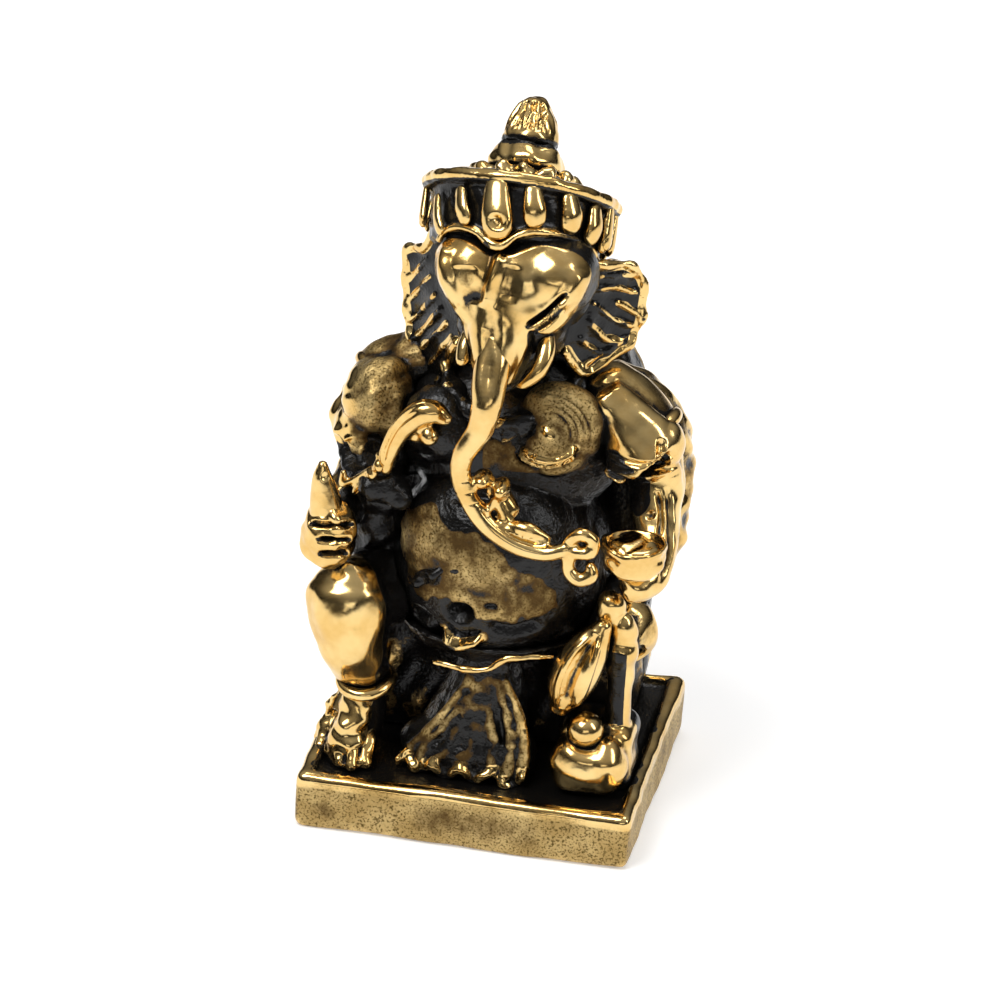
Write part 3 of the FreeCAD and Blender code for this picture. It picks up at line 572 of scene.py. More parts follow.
def finished(piece, name, part, metal, buffed=1.0, patina_and_shade=0.0):
    """Bring a piece to metres at the origin, give it its metal, and stand it in for a CAD part.

    buffed and stained say how polished and how blackened the skin is, as one value or by place;
    the black is patina, and painted shade on the head outside its face mask;
    a negative stain lifts the skin towards gold."""
    places = np.clip(places_of(piece), np.array(cad_low) / MM, np.array(cad_high) / MM)
    for label, given in (("buffed", buffed), ("patina_and_shade", patina_and_shade)):
        amount = given(places) if callable(given) else np.full(len(places), given)
        paint(piece, label, np.clip(amount, -1, 1.5))
    move_to(piece, places * MM)
    only(piece)
    bpy.ops.object.shade_smooth()
    piece.name = name
    piece.data.name = name
    piece.data.materials.clear()
    piece.data.materials.append(metal)
    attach(piece, "root")
    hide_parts(part)
    MADE.append(piece)


def solid_map(pieces, pitch, low, counts):
    """Which cells of a grid are inside the figure, found by passing upright lines through each piece."""
    below, onward = -0.002, 2e-6
    full = np.zeros(counts, np.float32)
    view = bpy.context.evaluated_depsgraph_get()
    for piece in pieces:
        tree = BVHTree.FromObject(piece, view)
        corners = places_of(piece) / MM
        first = np.maximum(((corners.min(0) - low) / pitch).astype(int), 0)
        last = np.minimum(((corners.max(0) - low) / pitch).astype(int) + 1, np.array(counts) - 1)
        for i in range(first[0], last[0] + 1):
            for j in range(first[1], last[1] + 1):
                x, y = (low[0] + (i + 0.5) * pitch) * MM, (low[1] + (j + 0.5) * pitch) * MM
                up, entered = below, None
                while True:
                    place, normal, _, _ = tree.ray_cast(Vector((x, y, up)), Vector((0, 0, 1)))
                    if place is None:
                        break
                    if normal.z < 0 and entered is None:
                        entered = place.z
                    elif normal.z > 0 and entered is not None:
                        a, b = (int(round((z / MM - low[2]) / pitch)) for z in (entered, place.z))
                        full[i, j, max(a, 0):max(b, 0)] = 1
                        entered = None
                    up = place.z + onward
    return full


def blurred(grid, reach):
    """Box means three times over, reach cells to each side."""
    for _ in range(3):
        for axis in range(3):
            pad = [(reach + 1, reach) if a == axis else (0, 0) for a in range(3)]
            sums = np.cumsum(np.pad(grid, pad), axis=axis, dtype=np.float64)
            length = grid.shape[axis]
            ahead = np.take(sums, np.arange(2 * reach + 1, 2 * reach + 1 + length), axis=axis)
            behind = np.take(sums, np.arange(length), axis=axis)
            grid = ((ahead - behind) / (2 * reach + 1)).astype(np.float32)
    return grid


def read_grid(grid, low, pitch, places):
    """The grid's value at places, blended between cells."""
    where = np.clip((places - low) / pitch - 0.5, 0, np.array(grid.shape) - 1.001)
    cell = where.astype(int)
    part = where - cell
    total = np.zeros(len(places))
    for dx in (0, 1):
        for dy in (0, 1):
            for dz in (0, 1):
                share = (np.abs(1 - dx - part[:, 0]) * np.abs(1 - dy - part[:, 1])
                        * np.abs(1 - dz - part[:, 2]))
                total += share * grid[cell[:, 0] + dx, cell[:, 1] + dy, cell[:, 2] + dz]
    return total


def shelter_skin(pieces, pitch=0.12):
    """Store how open each point of the skin is: 0 deep in a hollow, 0.5 on a flat, 1 on a spike."""
    margin = 1.5
    low = np.array(cad_low) / MM - margin
    counts = tuple(((np.array(cad_high) / MM + margin - low) / pitch).astype(int) + 1)
    full = solid_map(pieces, pitch, low, counts)
    near, wide = blurred(full, 1), blurred(full, 4)
    for piece in pieces:
        places = places_of(piece) / MM
        paint(piece, "fine_open", 1 - read_grid(near, low, pitch, places))
        paint(piece, "open", 1 - read_grid(wide, low, pitch, places))


# ---------------------------------------------------------------- metals of this figure

MIRROR = gilded_brass("mirror_gilding", polish=1.0, blacking=0.43, grain=0.25, seed=1.0)
BRIGHT = gilded_brass("bright_gilding", polish=0.85, blacking=0.455, grain=0.4, seed=4.0)
SATIN = gilded_brass("cast_gilding", polish=0.55, blacking=0.455, grain=0.9, seed=9.0)
PLATE = gilded_brass("plinth_gilding", polish=0.6, blacking=0.36, grain=0.9, seed=21.0)
DARK = gilded_brass("blackened_gilding", polish=0.75, blacking=0.53, grain=0.6, seed=13.0)


# ---------------------------------------------------------------- base

def make_plinth():
    low, high = millimetres("plinth")
    slab = block(low, high, 0.3)
    sunk = block((low.x + 0.62, low.y + 0.62, high.z - 0.34), (high.x - 0.55, high.y - 0.5, high.z + 1), 0.22)
    body = weld([carved(slab, sunk)], 6, 0.11)
    rumple(body, 2.6, 0.05, 3)
    rumple(body, 0.9, 0.015, 5)

    def from_side(p):
        """How far inside the nearest of the slab's four sides places are."""
        gaps = (p[:, 0] - low.x, high.x - p[:, 0], p[:, 1] - low.y, high.y - p[:, 1])
        return np.min(gaps, axis=0)

    def shine(p):
        rim = (p[:, 2] > high.z - 0.32) & (from_side(p) < 0.8)
        return np.where(rim, 1.0, np.where(p[:, 2] > high.z - 0.6, 0.5, 0.16))

    def blackening(p):
        sides = from_side(p)
        sides = np.where(p[:, 1] - low.y < sides + 0.01, sides, sides + 0.16)
        wander = np.clip(0.16 * lumps(p, 0.5, 17), -0.3, 0.2)
        return 1.3 * fade((sides - 0.62 + wander) / 0.12) * (p[:, 2] > 1.9)

    finished(body, "plinth_slab", "plinth", PLATE, shine, blackening)


def make_seat():
    body = softened("seat", 5, (1.5, 0.15, 8), voxel=0.12)
    finished(body, "seat_block", "seat", DARK)


def make_throne_back():
    rear = millimetres("throne_back")[1].y
    body = softened("throne_back", 8, (2.6, 0.16, 11), (0.8, 0.06, 12), voxel=0.12)
    finished(body, "throne_back_slab", "throne_back", SATIN,
            lambda p: 0.35 + 0.5 * (np.abs(p[:, 0]) > 5.0), lambda p: 0.6 * (p[:, 1] < rear - 0.7))


# ---------------------------------------------------------------- body

BELLY_GOLD = closed_line([(-3.6, 13.1), (-2.8, 14.2), (-1.2, 13.6), (0.2, 12.5), (2.9, 11.2), (2.75, 10.2),
        (-0.2, 9.4), (-1.5, 10.3), (-2.9, 10.4)], 6)


def make_torso():
    body = weld([taken("torso"), blob((2.4, -1.55, 17.6), (2.0, 1.2, 1.7)),
            blob((-2.5, -1.7, 16.9), (1.6, 1.1, 1.7)), blob((-0.2, -1.9, 11.9), (3.8, 2.75, 3.5)),
            blob((0.1, -2.1, 9.0), (2.9, 2.2, 1.9))], 6)
    lip = [(-1.5, 8.8), (-0.85, 8.4), (0.05, 8.75)]
    # the navel, the bright fold under it and the soft folds of the lap
    traces(body, NAVEL,
           ([(-1.0, 9.75), (-0.75, 9.75)], 0.6, 0.9, 0),
           ([(0.25, 10.25), (0.5, 10.25)], 0.28, 0.25, 0),
           ([(-1.9, 11.9), (-1.65, 11.9)], 0.5, 0.12, 0))
    traces(body, LAP,
           ([(-1.6, 8.85), (-0.85, 8.4), (0.15, 8.8)], 0.3, -0.45),
           ([(-1.5, 9.1), (-0.8, 8.75), (0.1, 9.0)], 0.13, 0.3),
           ([(-3.0, 9.6), (-2.0, 8.9), (-1.7, 8.0)], 0.35, 0.3),
           ([(0.3, 9.3), (1.4, 9.3), (2.6, 9.9)], 0.4, 0.35))
    # the crease between chest and belly
    stroke(body, [(-3.9, -2.6, 14.3), (-2.2, -3.7, 14.9), (0, -3.7, 15.1), (2.2, -3.6, 15.5),
            (3.9, -2.7, 15.7)], 0.8, 0.6)

    def arc(radius, first, last):
        """Part of a ring round the breast, from one angle to another."""
        turns = [math.radians(a) for a in np.linspace(first, last, 7)]
        return [(2.1 + radius * math.cos(a), 17.85 + radius * math.sin(a)) for a in turns]

    # the boss of the breast in its bands, and the bright fold under it
    for radius in (0.95, 1.25, 1.52, 1.78):
        trace(body, arc(radius, -30 + 8 * radius, 105), BREAST, 0.12, 0.14, taper=0.3)
    under = arc(1.3, 215, 340)
    traces(body, BREAST,
           (under, 0.3, -0.4),
           (arc(1.62, 215, 340), 0.25, 0.3),
           ([(2.0, 17.9), (2.15, 17.8)], 0.5, -0.15, 0))
    rumple(body, 0.34, 0.022, 21)
    rumple(body, 1.6, 0.06, 22)

    def shine(p):
        boss = fade(1.3 - gap_to(p, [[(1.95, 18.0), (2.25, 17.75)], under], BREAST) / 0.28)
        fold = fade(1.6 - gap_to(p, [lip], LAP) / 0.25)
        return np.maximum(np.maximum(boss, fold), 0.3)

    def blackening(p):
        wander = 0.3 * lumps(p, 1.3, 23) + 0.16 * lumps(p, 0.45, 24)
        belly = -within(p, BELLY_GOLD, BELLY) + wander
        across, up = seen(p, BREAST).T
        breast = np.hypot((across - 2.3) / 1.9, (up - 17.7) / 2.0) - 1 + 0.5 * wander
        fold = gap_to(p, [lip], LAP) - 0.2
        navel = fade(1.4 - gap_to(p, [[(-1.05, 9.75), (-0.8, 9.75)]], NAVEL) / 0.4)
        front = fade((-p[:, 1] - 0.5) / 1.0)
        rough = np.clip(lumps(p, 1.0, 25), -1, 1)
        chest = -0.16 + 0.2 * rough - 0.2 * fade(-breast / 0.15) + 0.7 * fade((-p[:, 0] - 0.4) / 0.3)
        away = fade(np.minimum(belly, fold) / 0.5) + 0.10 * rough
        away = np.where(p[:, 2] > 15.6, chest, away)
        return np.maximum(away * front + (1 - front) * 0.3, navel)

    finished(body, "torso_and_belly", "torso", SATIN, shine, blackening)


def make_belt():
    line = [(-1.8, -4.35, 7.35, 0.13), (-1.4, -4.5, 7.42, 0.15), (-0.67, -4.65, 7.38, 0.16),
            (0.42, -4.65, 7.52, 0.15), (1.15, -4.55, 8.05, 0.17), (1.91, -4.4, 8.15, 0.16),
            (2.9, -4.0, 8.15, 0.13)]
    body = weld([taken("belt"), tube(line, 6, 12)], 1)
    rumple(body, 0.3, 0.03, 26)

    def blackening(p):
        away = fade((distance_to_line(p, through(line))[0] - 0.2) / 0.1)
        return 0.7 * away + 0.16 + 0.2 * lumps(p, 0.7, 30)

    finished(body, "waist_belt", "belt", SATIN, 0.45, blackening)


def make_skirt():
    hem = [(-3.2, 2.45), (-2.9, 2.75), (-2.5, 2.4), (-2.05, 2.35), (-1.65, 2.7), (-1.15, 2.2), (-0.45, 2.75),
           (0.05, 2.25), (0.5, 2.6), (1.0, 2.7), (1.35, 2.2), (1.8, 2.2), (2.1, 2.65)]

    def drape(x, z):
        """The cloth's front at a place: it bells out towards the hem."""
        fall = fade((7.0 - z) / 4.6)
        return -3.75 - 0.95 * fall ** 1.3 + 0.075 * (x + 0.2) ** 2 * fall

    pleats = [
        [(-0.4, 6.5), (-1.6, 4.6), (-2.9, 2.75)],
        [(-0.1, 6.3), (-1.2, 4.5), (-2.05, 3.4), (-2.2, 2.6)],
        [(0.0, 6.3), (-0.7, 4.5), (-1.1, 3.6), (-1.6, 2.75)],
        [(0.2, 6.4), (-0.1, 4.6), (-0.2, 3.5), (-0.5, 2.8)],
        [(0.35, 6.5), (0.45, 5.0), (0.75, 4.0), (0.8, 2.8)],
        [(0.7, 6.5), (1.2, 5.3), (1.5, 4.0), (1.35, 2.6)],
        [(1.1, 6.5), (1.75, 5.2), (2.0, 4.0), (2.05, 2.7)],
    ]
    folds = []
    for k, pleat in enumerate(pleats):
        rows = [(x, drape(x, z) + 0.1, z, 0.15 + 0.05 * i + 0.02 * (k % 3)) for i, (x, z) in enumerate(pleat)]
        folds.append(tube(rows, 6, 12))
    lip = [(x, drape(x, z) - 0.02 - 0.16 * math.cos(k * math.pi), z, 0.2) for k, (x, z) in enumerate(hem)]
    folds.append(tube(lip, 4, 12))
    core = [tube([(0.2, -2.5, 7.0, 1.3), (-0.1, -2.35, 4.8, 1.9), (-0.4, -2.2, 3.2, 2.3)], 6, 28),
            blob((-0.5, -2.9, 3.0), (2.9, 1.75, 1.3))]
    body = weld(core + folds, 1)
    places = places_of(body)
    places[:, 2] = np.maximum(places[:, 2], millimetres("skirt")[0].z)
    move_to(body, places)
    finer(body)
    rumple(body, 0.3, 0.02, 27)

    def shine(p):
        return np.where(distance_to_line(p, through(lip))[0] < 0.42, 1.0, 0.25)

    def blackening(p):
        lines = [[(x, drape(x, z), z) for x, z in pleat] for pleat in pleats]
        ridge = np.min([distance_to_line(p, line)[0] for line in lines], axis=0) + 0.12 * lumps(p, 0.7, 28)
        edge = distance_to_line(p, through(lip))[0]
        valley = fade((np.minimum(ridge, edge + 0.02) - 0.24) / 0.12)
        return 0.55 * valley + (1 - valley) * (0.17 + 0.12 * lumps(p, 0.5, 31)) * (edge > 0.4)

    finished(body, "pleated_skirt", "skirt", SATIN, shine, blackening)


# ---------------------------------------------------------------- head

HEART = closed_line([(-0.1, 25.75), (-0.55, 25.5), (-1.22, 25.9), (-2.01, 26.1), (-2.59, 25.8),
        (-2.72, 25.2), (-2.56, 24.2), (-2.04, 23.3), (-1.54, 22.6), (-1.21, 21.2), (-1.0, 19.8),
        (0.32, 19.9), (0.83, 20.9), (1.05, 21.7), (1.15, 22.5), (2.04, 22.5), (2.85, 23.5), (3.38, 24.8),
        (3.52, 25.5), (3.05, 26.0), (2.18, 26.25), (1.33, 26.2), (0.3, 25.65)], 5)


def make_head():
    mask = tube([(0.2, -1.75, 25.0, 2.6), (0.3, -2.2, 24.0, 2.85), (0.25, -2.7, 22.9, 2.5),
            (0.1, -3.2, 21.6, 1.7), (0.0, -3.8, 20.4, 1.0)], 8, 36, flat=0.6, flat_way=(0, 1, 0.1))
    trunk_root = tube([(-0.2, -2.5, 25.0, 0.85), (-0.15, -3.0, 23.7, 1.15), (-0.1, -3.55, 22.3, 1.2),
            (-0.08, -4.1, 21.3, 0.94), (-0.1, -4.35, 20.6, 0.6), (-0.1, -4.5, 20.1, 0.3)], 8, 32, flat=0.8,
            flat_way=(0, -1, 0.25))
    body = weld([taken("head"), mask, trunk_root, blob((-1.4, -2.0, 24.3), (1.5, 1.55, 1.6), (0, 20, 0)),
            blob((1.8, -2.0, 24.4), (1.7, 1.55, 1.7), (0, -20, 0))], 16, 0.11)
    finer(body)
    # the mask of the face stands out of the skull
    places = places_of(body)
    outside = fade(-within(places, HEART, FACE) / 0.3)
    ahead = fade((-1.0 - places[:, 1]) / 0.8)
    places[:, 1] += 0.5 * ahead * eased(outside)
    move_to(body, places)
    traces(body, FACE,
           ([(-0.1, 26.1), (-0.12, 25.7)], 0.4, 0.2, 0),
           ([(-0.05, 25.9), (-0.25, 25.1), (-0.5, 24.1), (-0.6, 23.2)], 0.4, -0.3),
           ([(-2.2, 25.85), (-2.45, 25.2), (-2.3, 24.2), (-1.8, 23.3), (-1.35, 22.4)], 0.38, -0.22),
           ([(-1.6, 25.0), (-1.5, 24.3), (-1.15, 23.3)], 0.7, 0.14),
           ([(0.4, 25.3), (0.35, 24.6), (0.2, 23.6)], 0.5, 0.14),
           ([(-0.42, 23.2), (-0.38, 22.2), (-0.36, 21.2), (-0.4, 20.3)], 0.55, 0.22, 0.3),
           ([(3.1, 25.5), (3.0, 24.7), (2.4, 23.9), (1.6, 23.2)], 0.5, -0.12))
    # the long closed eye between two folds of the cheek
    traces(body, FACE,
           ([(2.65, 24.35), (1.85, 23.35), (1.05, 22.6)], 0.2, 0.45),
           ([(2.5, 23.7), (1.95, 22.95), (1.35, 22.45)], 0.17, 0.4),
           ([(2.6, 24.0), (1.9, 23.15), (1.25, 22.5)], 0.16, -0.14))
    rumple(body, 0.5, 0.012, 29)

    def blackening(p):
        # painted shade: the skull outside the face mask is painted black so the cheeks and the trunk's root
        # read as lying in shadow; the eye slits are blackened too
        outside = fade((-within(p, HEART, FACE) - 0.06 + 0.03 * lumps(p, 0.5, 26)) / 0.08)
        eye = [[(2.6, 24.3), (1.85, 23.35), (1.1, 22.6)], [(2.4, 23.6), (1.95, 22.95), (1.4, 22.45)]]
        slits = gap_to(p, eye, FACE)
        return np.maximum(outside, 0.7 * fade((0.09 - slits) / 0.04))

    def shine(p):
        across, up = seen(p, FACE).T
        pitted = np.hypot(across + 1.5, (up - 24.5) / 1.3)
        return 1 - 0.55 * fade((0.62 - pitted) / 0.3)

    finished(body, "elephant_head", "head", MIRROR, shine, blackening)


def make_trunk():
    line = [(-0.12, -3.5, 22.4, 0.6), (-0.08, -4.2, 21.3, 0.76), (-0.12, -4.8, 20.4, 0.72),
            (-0.1, -5.15, 19.7, 0.64), (-0.3, -5.35, 18.6, 0.54), (-0.85, -5.45, 17.6, 0.47),
            (-0.98, -5.5, 16.75, 0.43), (-0.72, -5.5, 15.9, 0.41), (-0.2, -5.5, 15.0, 0.4),
            (0.48, -5.5, 14.3, 0.38), (1.55, -5.5, 13.75, 0.37), (2.7, -5.5, 13.6, 0.34),
            (3.5, -5.5, 13.9, 0.3)]
    knot = [(3.65, -5.4, 14.3, 0.27), (4.1, -5.45, 14.65, 0.3), (4.6, -5.4, 14.4, 0.26),
            (4.5, -5.45, 13.9, 0.3), (3.9, -5.5, 13.8, 0.28)]
    lip = [(3.7, -5.45, 13.7, 0.25), (3.66, -5.45, 13.0, 0.29), (4.1, -5.5, 12.62, 0.31),
            (4.6, -5.45, 12.85, 0.3), (4.55, -5.4, 13.2, 0.24)]
    # sweets held in the curl
    curl = [blob((-0.14, -4.95, 16.3), (0.42, 0.7, 0.36)), blob((0.63, -4.85, 15.95), (0.38, 0.75, 0.38)),
            tube([(-0.45, -5.15, 15.6, 0.16), (0.15, -5.2, 15.1, 0.2), (0.68, -5.1, 16.0, 0.16)], 6, 12),
            tube([(0.55, -5.05, 15.3, 0.2), (1.1, -5.05, 14.3, 0.24)], 6, 12),
            tube([(1.05, -5.15, 14.45, 0.2), (1.85, -5.2, 14.38, 0.36), (2.65, -5.15, 14.1, 0.2)], 6, 16),
            tube([(1.0, -4.6, 14.9, 0.4), (0.4, -4.5, 15.6, 0.5)], 6, 16)]
    body = weld([tube(line, 8, 24), tube(knot, 6, 14), tube(lip, 6, 14)] + curl, 1)
    finer(body)
    trace(body, [(-0.36, 21.9), (-0.38, 20.9), (-0.42, 19.9), (-0.55, 18.7)], FACE, 0.5, 0.16, taper=0.4)
    for x, z in ((-0.55, 17.3), (-0.7, 16.8), (-0.75, 16.3), (-0.6, 15.8), (-0.35, 15.35)):
        trace(body, [(x - 0.55, z - 0.1), (x - 0.1, z), (x + 0.3, z + 0.12)], CURL, 0.1, 0.018)
    trace(body, [(0.0, 15.2), (0.7, 14.55), (1.6, 14.05), (2.7, 13.9)], CURL, 0.14, 0.16)
    finished(body, "curling_trunk", "trunk", MIRROR)


def make_tusks():
    left = weld([tube([(1.6, -2.6, 22.2, 0.42), (1.85, -3.3, 21.6, 0.4), (1.7, -3.9, 20.9, 0.33),
            (1.2, -4.15, 20.35, 0.2), (0.95, -4.2, 20.25, 0.1)], 8, 16)], 2)
    finished(left, "left_tusk_curved", "left_tusk", MIRROR)
    line = [(-1.05, -2.6, 22.2, 0.4), (-1.4, -3.4, 21.4, 0.34), (-1.45, -3.8, 20.9, 0.28)]
    stub = weld([tube(line, 8, 16)], 2)
    finished(stub, "right_tusk_broken", "right_tusk_stub", BRIGHT)


def make_ears():
    rims = {
        "right": (-1,
                  [(-3.1, 25.0), (-3.79, 24.3), (-4.4, 24.25), (-4.52, 23.1), (-4.42, 21.8), (-4.23, 20.4),
                   (-3.84, 19.4), (-3.24, 18.0), (-2.9, 18.2), (-2.45, 19.7), (-1.9, 21.0), (-1.6, 23.0)],
                  [[(-3.48, 23.0), (-4.35, 21.8)], [(-3.2, 22.2), (-4.25, 20.9)],
                   [(-2.95, 21.6), (-4.05, 20.1)], [(-2.7, 21.0), (-3.85, 19.6)],
                   [(-3.6, 23.8), (-4.45, 22.7)], [(-2.5, 20.4), (-3.5, 18.8)]]),
        "left": (1,
                 [(2.6, 25.0), (3.42, 24.5), (4.58, 24.7), (5.28, 24.1), (5.3, 22.7), (4.95, 21.3),
                  (3.89, 20.2), (3.05, 19.6), (2.2, 20.6), (1.9, 22.8)],
                 [[(3.3, 23.9), (4.1, 24.2), (4.9, 24.2)], [(3.4, 23.4), (4.2, 23.6), (5.0, 23.5)],
                  [(3.0, 19.9), (3.9, 20.7), (4.7, 21.4)], [(4.3, 22.9), (5.0, 22.6)],
                  [(3.3, 22.7), (4.1, 22.2), (4.9, 22.0)], [(3.1, 21.9), (3.8, 21.3), (4.6, 21.2)],
                  [(2.8, 21.1), (3.4, 20.7), (4.1, 20.5)]]),
    }
    sweep = math.radians(42)
    for side, (sign, shape, ribs) in rims.items():
        root = Vector((0.15 + sign * 2.2, -1.3, 23.25))
        outward = Vector((sign * math.cos(sweep), math.sin(sweep), 0))

        def on_ear(x, z, ahead=0.0):
            """The place on the ear's blade that shows at (x, z), drawn forward a little."""
            reach = (x - root.x - ASIDE * (root.y - EARS)) / (outward.x + ASIDE * outward.y)
            place = root + outward * reach
            place.z = z - ABOVE * (place.y - EARS)
            return place + Vector((0, -ahead, 0))

        edge = closed_line(shape, 8)
        blade = [on_ear(x, z) for x, z in edge]
        leaf = plate([(sign * (p - root).dot(outward), p.z - root.z) for p in blade], 0.45, root,
                sign * math.degrees(sweep))
        seam = blade[:int(len(blade) * 0.8)]
        before = Vector((0, -0.05, 0))
        hem = [(*(p + before), 0.2 + 0.05 * math.sin(i * 0.8)) for i, p in enumerate(seam)]
        loop = tube(hem, 2, 10)
        bars = [tube([(*on_ear(x, z, 0.05), 0.1) for x, z in rib], 6, 8) for rib in ribs]
        body = weld([leaf, loop] + bars, 1)
        finer(body)
        rumple(body, 0.7, 0.05, 40 + sign)
        border = [tuple(p) for p in seam]
        lines = [[tuple(on_ear(x, z)) for x, z in rib] for rib in ribs]

        def blackening(p, border=border, lines=lines):
            rib = np.min([distance_to_line(p, line)[0] for line in lines], axis=0) + 0.05 * lumps(p, 0.5, 41)
            edge_gap = distance_to_line(p, border)[0]
            return 0.9 * fade((np.minimum(rib - 0.13, edge_gap - 0.3) + 0.03) / 0.06)

        finished(body, f"{side}_ear_fan", f"{side}_ear", BRIGHT,
                patina_and_shade=blackening)


# ---------------------------------------------------------------- crown

LEAN = 35.0
CROWN_FOOT = Vector((-0.25, -0.3, 24.05))


def on_crown(radius, angle, height):
    """A place on the leaning crown; angle 0 is its front, and grows towards the figure's left."""
    a = math.radians(angle)
    upright = Vector((radius * math.sin(a), -radius * math.cos(a), height))
    return CROWN_FOOT + Matrix.Rotation(math.radians(-LEAN), 3, "X") @ upright


def up_the_crown(places):
    """How far up the crown's own axis places are, and how far out from it."""
    axis = np.array(on_crown(0, 0, 1) - CROWN_FOOT)
    from_foot = places - np.array(CROWN_FOOT)
    height = from_foot @ axis
    return height, np.linalg.norm(from_foot - height[:, None] * axis, axis=1)


def on_wall(x, z, radius):
    """The place on the crown's round wall that shows at (x, z)."""
    angle, height = 0.0, 1.0
    for _ in range(30):
        place = on_crown(radius, angle, height)
        angle += 0.7 * math.degrees(x - place.x - ASIDE * (place.y - CROWN_FRONT)) / radius
        angle = max(-88, min(88, angle))
        height += 0.8 * (z - place.z - ABOVE * (place.y - CROWN_FRONT))
    return place


def make_crown():
    band = lathe([(0, 0.05), (3.1, 0.05), (3.4, 0.25), (3.5, 0.7), (3.55, 1.3), (3.62, 2.1), (3.72, 2.22),
            (4.0, 2.28), (4.12, 2.52), (4.02, 2.78), (3.7, 2.86), (2.4, 2.8), (0, 2.8)], CROWN_FOOT, LEAN,
            96)
    arch = [(-2.75, 25.85), (-2.5, 26.3), (-2.0, 26.5), (-1.31, 26.42), (-0.34, 25.85), (0.4, 26.45),
            (1.24, 26.75), (2.5, 26.72), (3.4, 26.4), (3.75, 25.85)]
    brow = tube([(*on_wall(x, z, 3.5), 0.17) for x, z in arch], 6, 12)
    body = weld([band, brow], 1)
    finer(body)
    rumple(body, 0.6, 0.04, 51)

    def blackening(p):
        height, out = up_the_crown(p)
        wall = (height < 2.36) & (out > 2.0)
        away = fade((distance_to_line(p, [on_wall(x, z, 3.5) for x, z in arch])[0] - 0.22) / 0.05)
        return np.where(wall, 0.8 * away, np.where((height > 2.7) & (out < 3.75), 0.6, 0))

    finished(body, "crown_band_rimmed", "crown_band", BRIGHT, patina_and_shade=blackening)

    hung = [((-2.9, 27.6), (-2.72, 26.35), 0.26), ((-1.95, 28.0), (-1.75, 27.0), 0.33),
            ((-0.5, 28.3), (-0.4, 26.85), 0.6), ((0.98, 28.35), (1.1, 27.4), 0.45),
            ((2.5, 28.25), (2.6, 27.35), 0.46), ((3.55, 27.9), (3.45, 26.95), 0.42),
            ((4.05, 27.55), (3.95, 26.6), 0.34)]

    def drop(rows, outward):
        """One hanging drop, flat against the wall it hangs on."""
        body = weld([tube(rows, 8, 20, flat=0.6, flat_way=outward)], 1)
        finer(body)
        return body

    drops = []
    for (x1, z1), (x2, z2), width in hung:
        top, foot = on_wall(x1, z1 + 0.12, 3.8), on_wall(x2, z2, 3.72)
        out = foot - on_crown(0, 0, 1.5)
        out.z = 0
        out.normalize()
        middle = top.lerp(foot, 0.6) + out * 0.08
        drops.append(drop([(*foot, width * 1.12), (*middle, width * 1.1), (*top, width * 0.9)], out))
        if width > 0.5:
            traces(drops[-1], CROWN_FRONT,
                   ([(-0.45, 26.95), (-0.4, 26.9)], 0.44, 0.3, 0),
                   ([(-0.45, 26.95), (-0.4, 26.9)], 0.16, -0.2, 0))
    for angle, width in ((-78, 0.3), (-92, 0.3), (-106, 0.3), (-122, 0.34), (-140, 0.4), (-160, 0.45),
            (78, 0.4), (96, 0.4), (115, 0.4), (136, 0.42), (158, 0.45), (180, 0.48)):
        top, foot = on_crown(3.86, angle, 2.3), on_crown(3.82, angle + 3, 1.0)
        out = (on_crown(4, angle, 1) - on_crown(3, angle, 1)).normalized()
        drops.append(drop([(*foot, width), (*top.lerp(foot, 0.5), width * 0.9), (*top, width * 0.7)], out))
    clear()
    for piece in drops:
        piece.select_set(True)
    bpy.context.view_layer.objects.active = drops[0]
    bpy.ops.object.join()
    finished(bpy.context.object, "crown_drops", "crown_jewels", MIRROR)

    ring = [lathe([(0, 2.75), (1.9, 2.75), (2.05, 3.0), (1.8, 3.45), (0, 3.5)], CROWN_FOOT, LEAN)]
    for k in range(13):
        ring.append(blob(on_crown(1.98, k * 360 / 13 + 8, 3.2), 0.4, segments=14))
    body = weld(ring, 2)
    rumple(body, 0.4, 0.08, 53)
    finished(body, "crown_beads", "crown_bead_ring", BRIGHT)

    collar = lathe([(0, 3.4), (1.35, 3.42), (1.55, 3.62), (1.58, 3.9), (1.42, 4.4), (1.2, 4.5),
            (1.24, 4.62), (0, 4.66)], CROWN_FOOT, LEAN)
    body = weld([collar], 2)
    rumple(body, 0.5, 0.07, 54)
    finished(body, "crown_neck", "crown_collar", BRIGHT,
            patina_and_shade=lambda p: 0.8 * (np.abs(up_the_crown(p)[0] - 4.55) < 0.1))

    cone = lathe([(0, 4.55), (1.1, 4.58), (1.2, 4.8), (1.12, 5.2), (0.95, 5.75), (0.68, 6.3), (0.36, 6.62),
            (0, 6.72)], CROWN_FOOT, LEAN)
    body = weld([cone], 2)
    finer(body)
    for angle in (-100, -62, -28, 4, 34):
        leaf = [on_crown(1.18, angle - 14, 5.0), on_crown(1.02, angle - 3, 5.75), on_crown(0.62, angle, 6.3),
                on_crown(1.02, angle + 3, 5.75), on_crown(1.18, angle + 14, 5.0)]
        stroke(body, leaf, 0.15, 0.2)
        stroke(body, [on_crown(1.18, angle, 5.05), on_crown(1.0, angle + 2, 5.6),
                on_crown(0.8, angle + 8, 6.0)], 0.12, 0.16)
    rumple(body, 0.3, 0.03, 55)
    finished(body, "crown_tip", "crown_finial", BRIGHT,
            patina_and_shade=lambda p: 0.25 * fade((4.95 - up_the_crown(p)[0]) / 0.1))


def make_necklace():
    body = softened("necklace", 2, (0.45, 0.14, 55))
    finished(body, "neck_chain", "necklace", DARK, 0.3,
            lambda p: 0.3 + 0.3 * lumps(p, 0.7, 56))


# ---------------------------------------------------------------- arms and hands

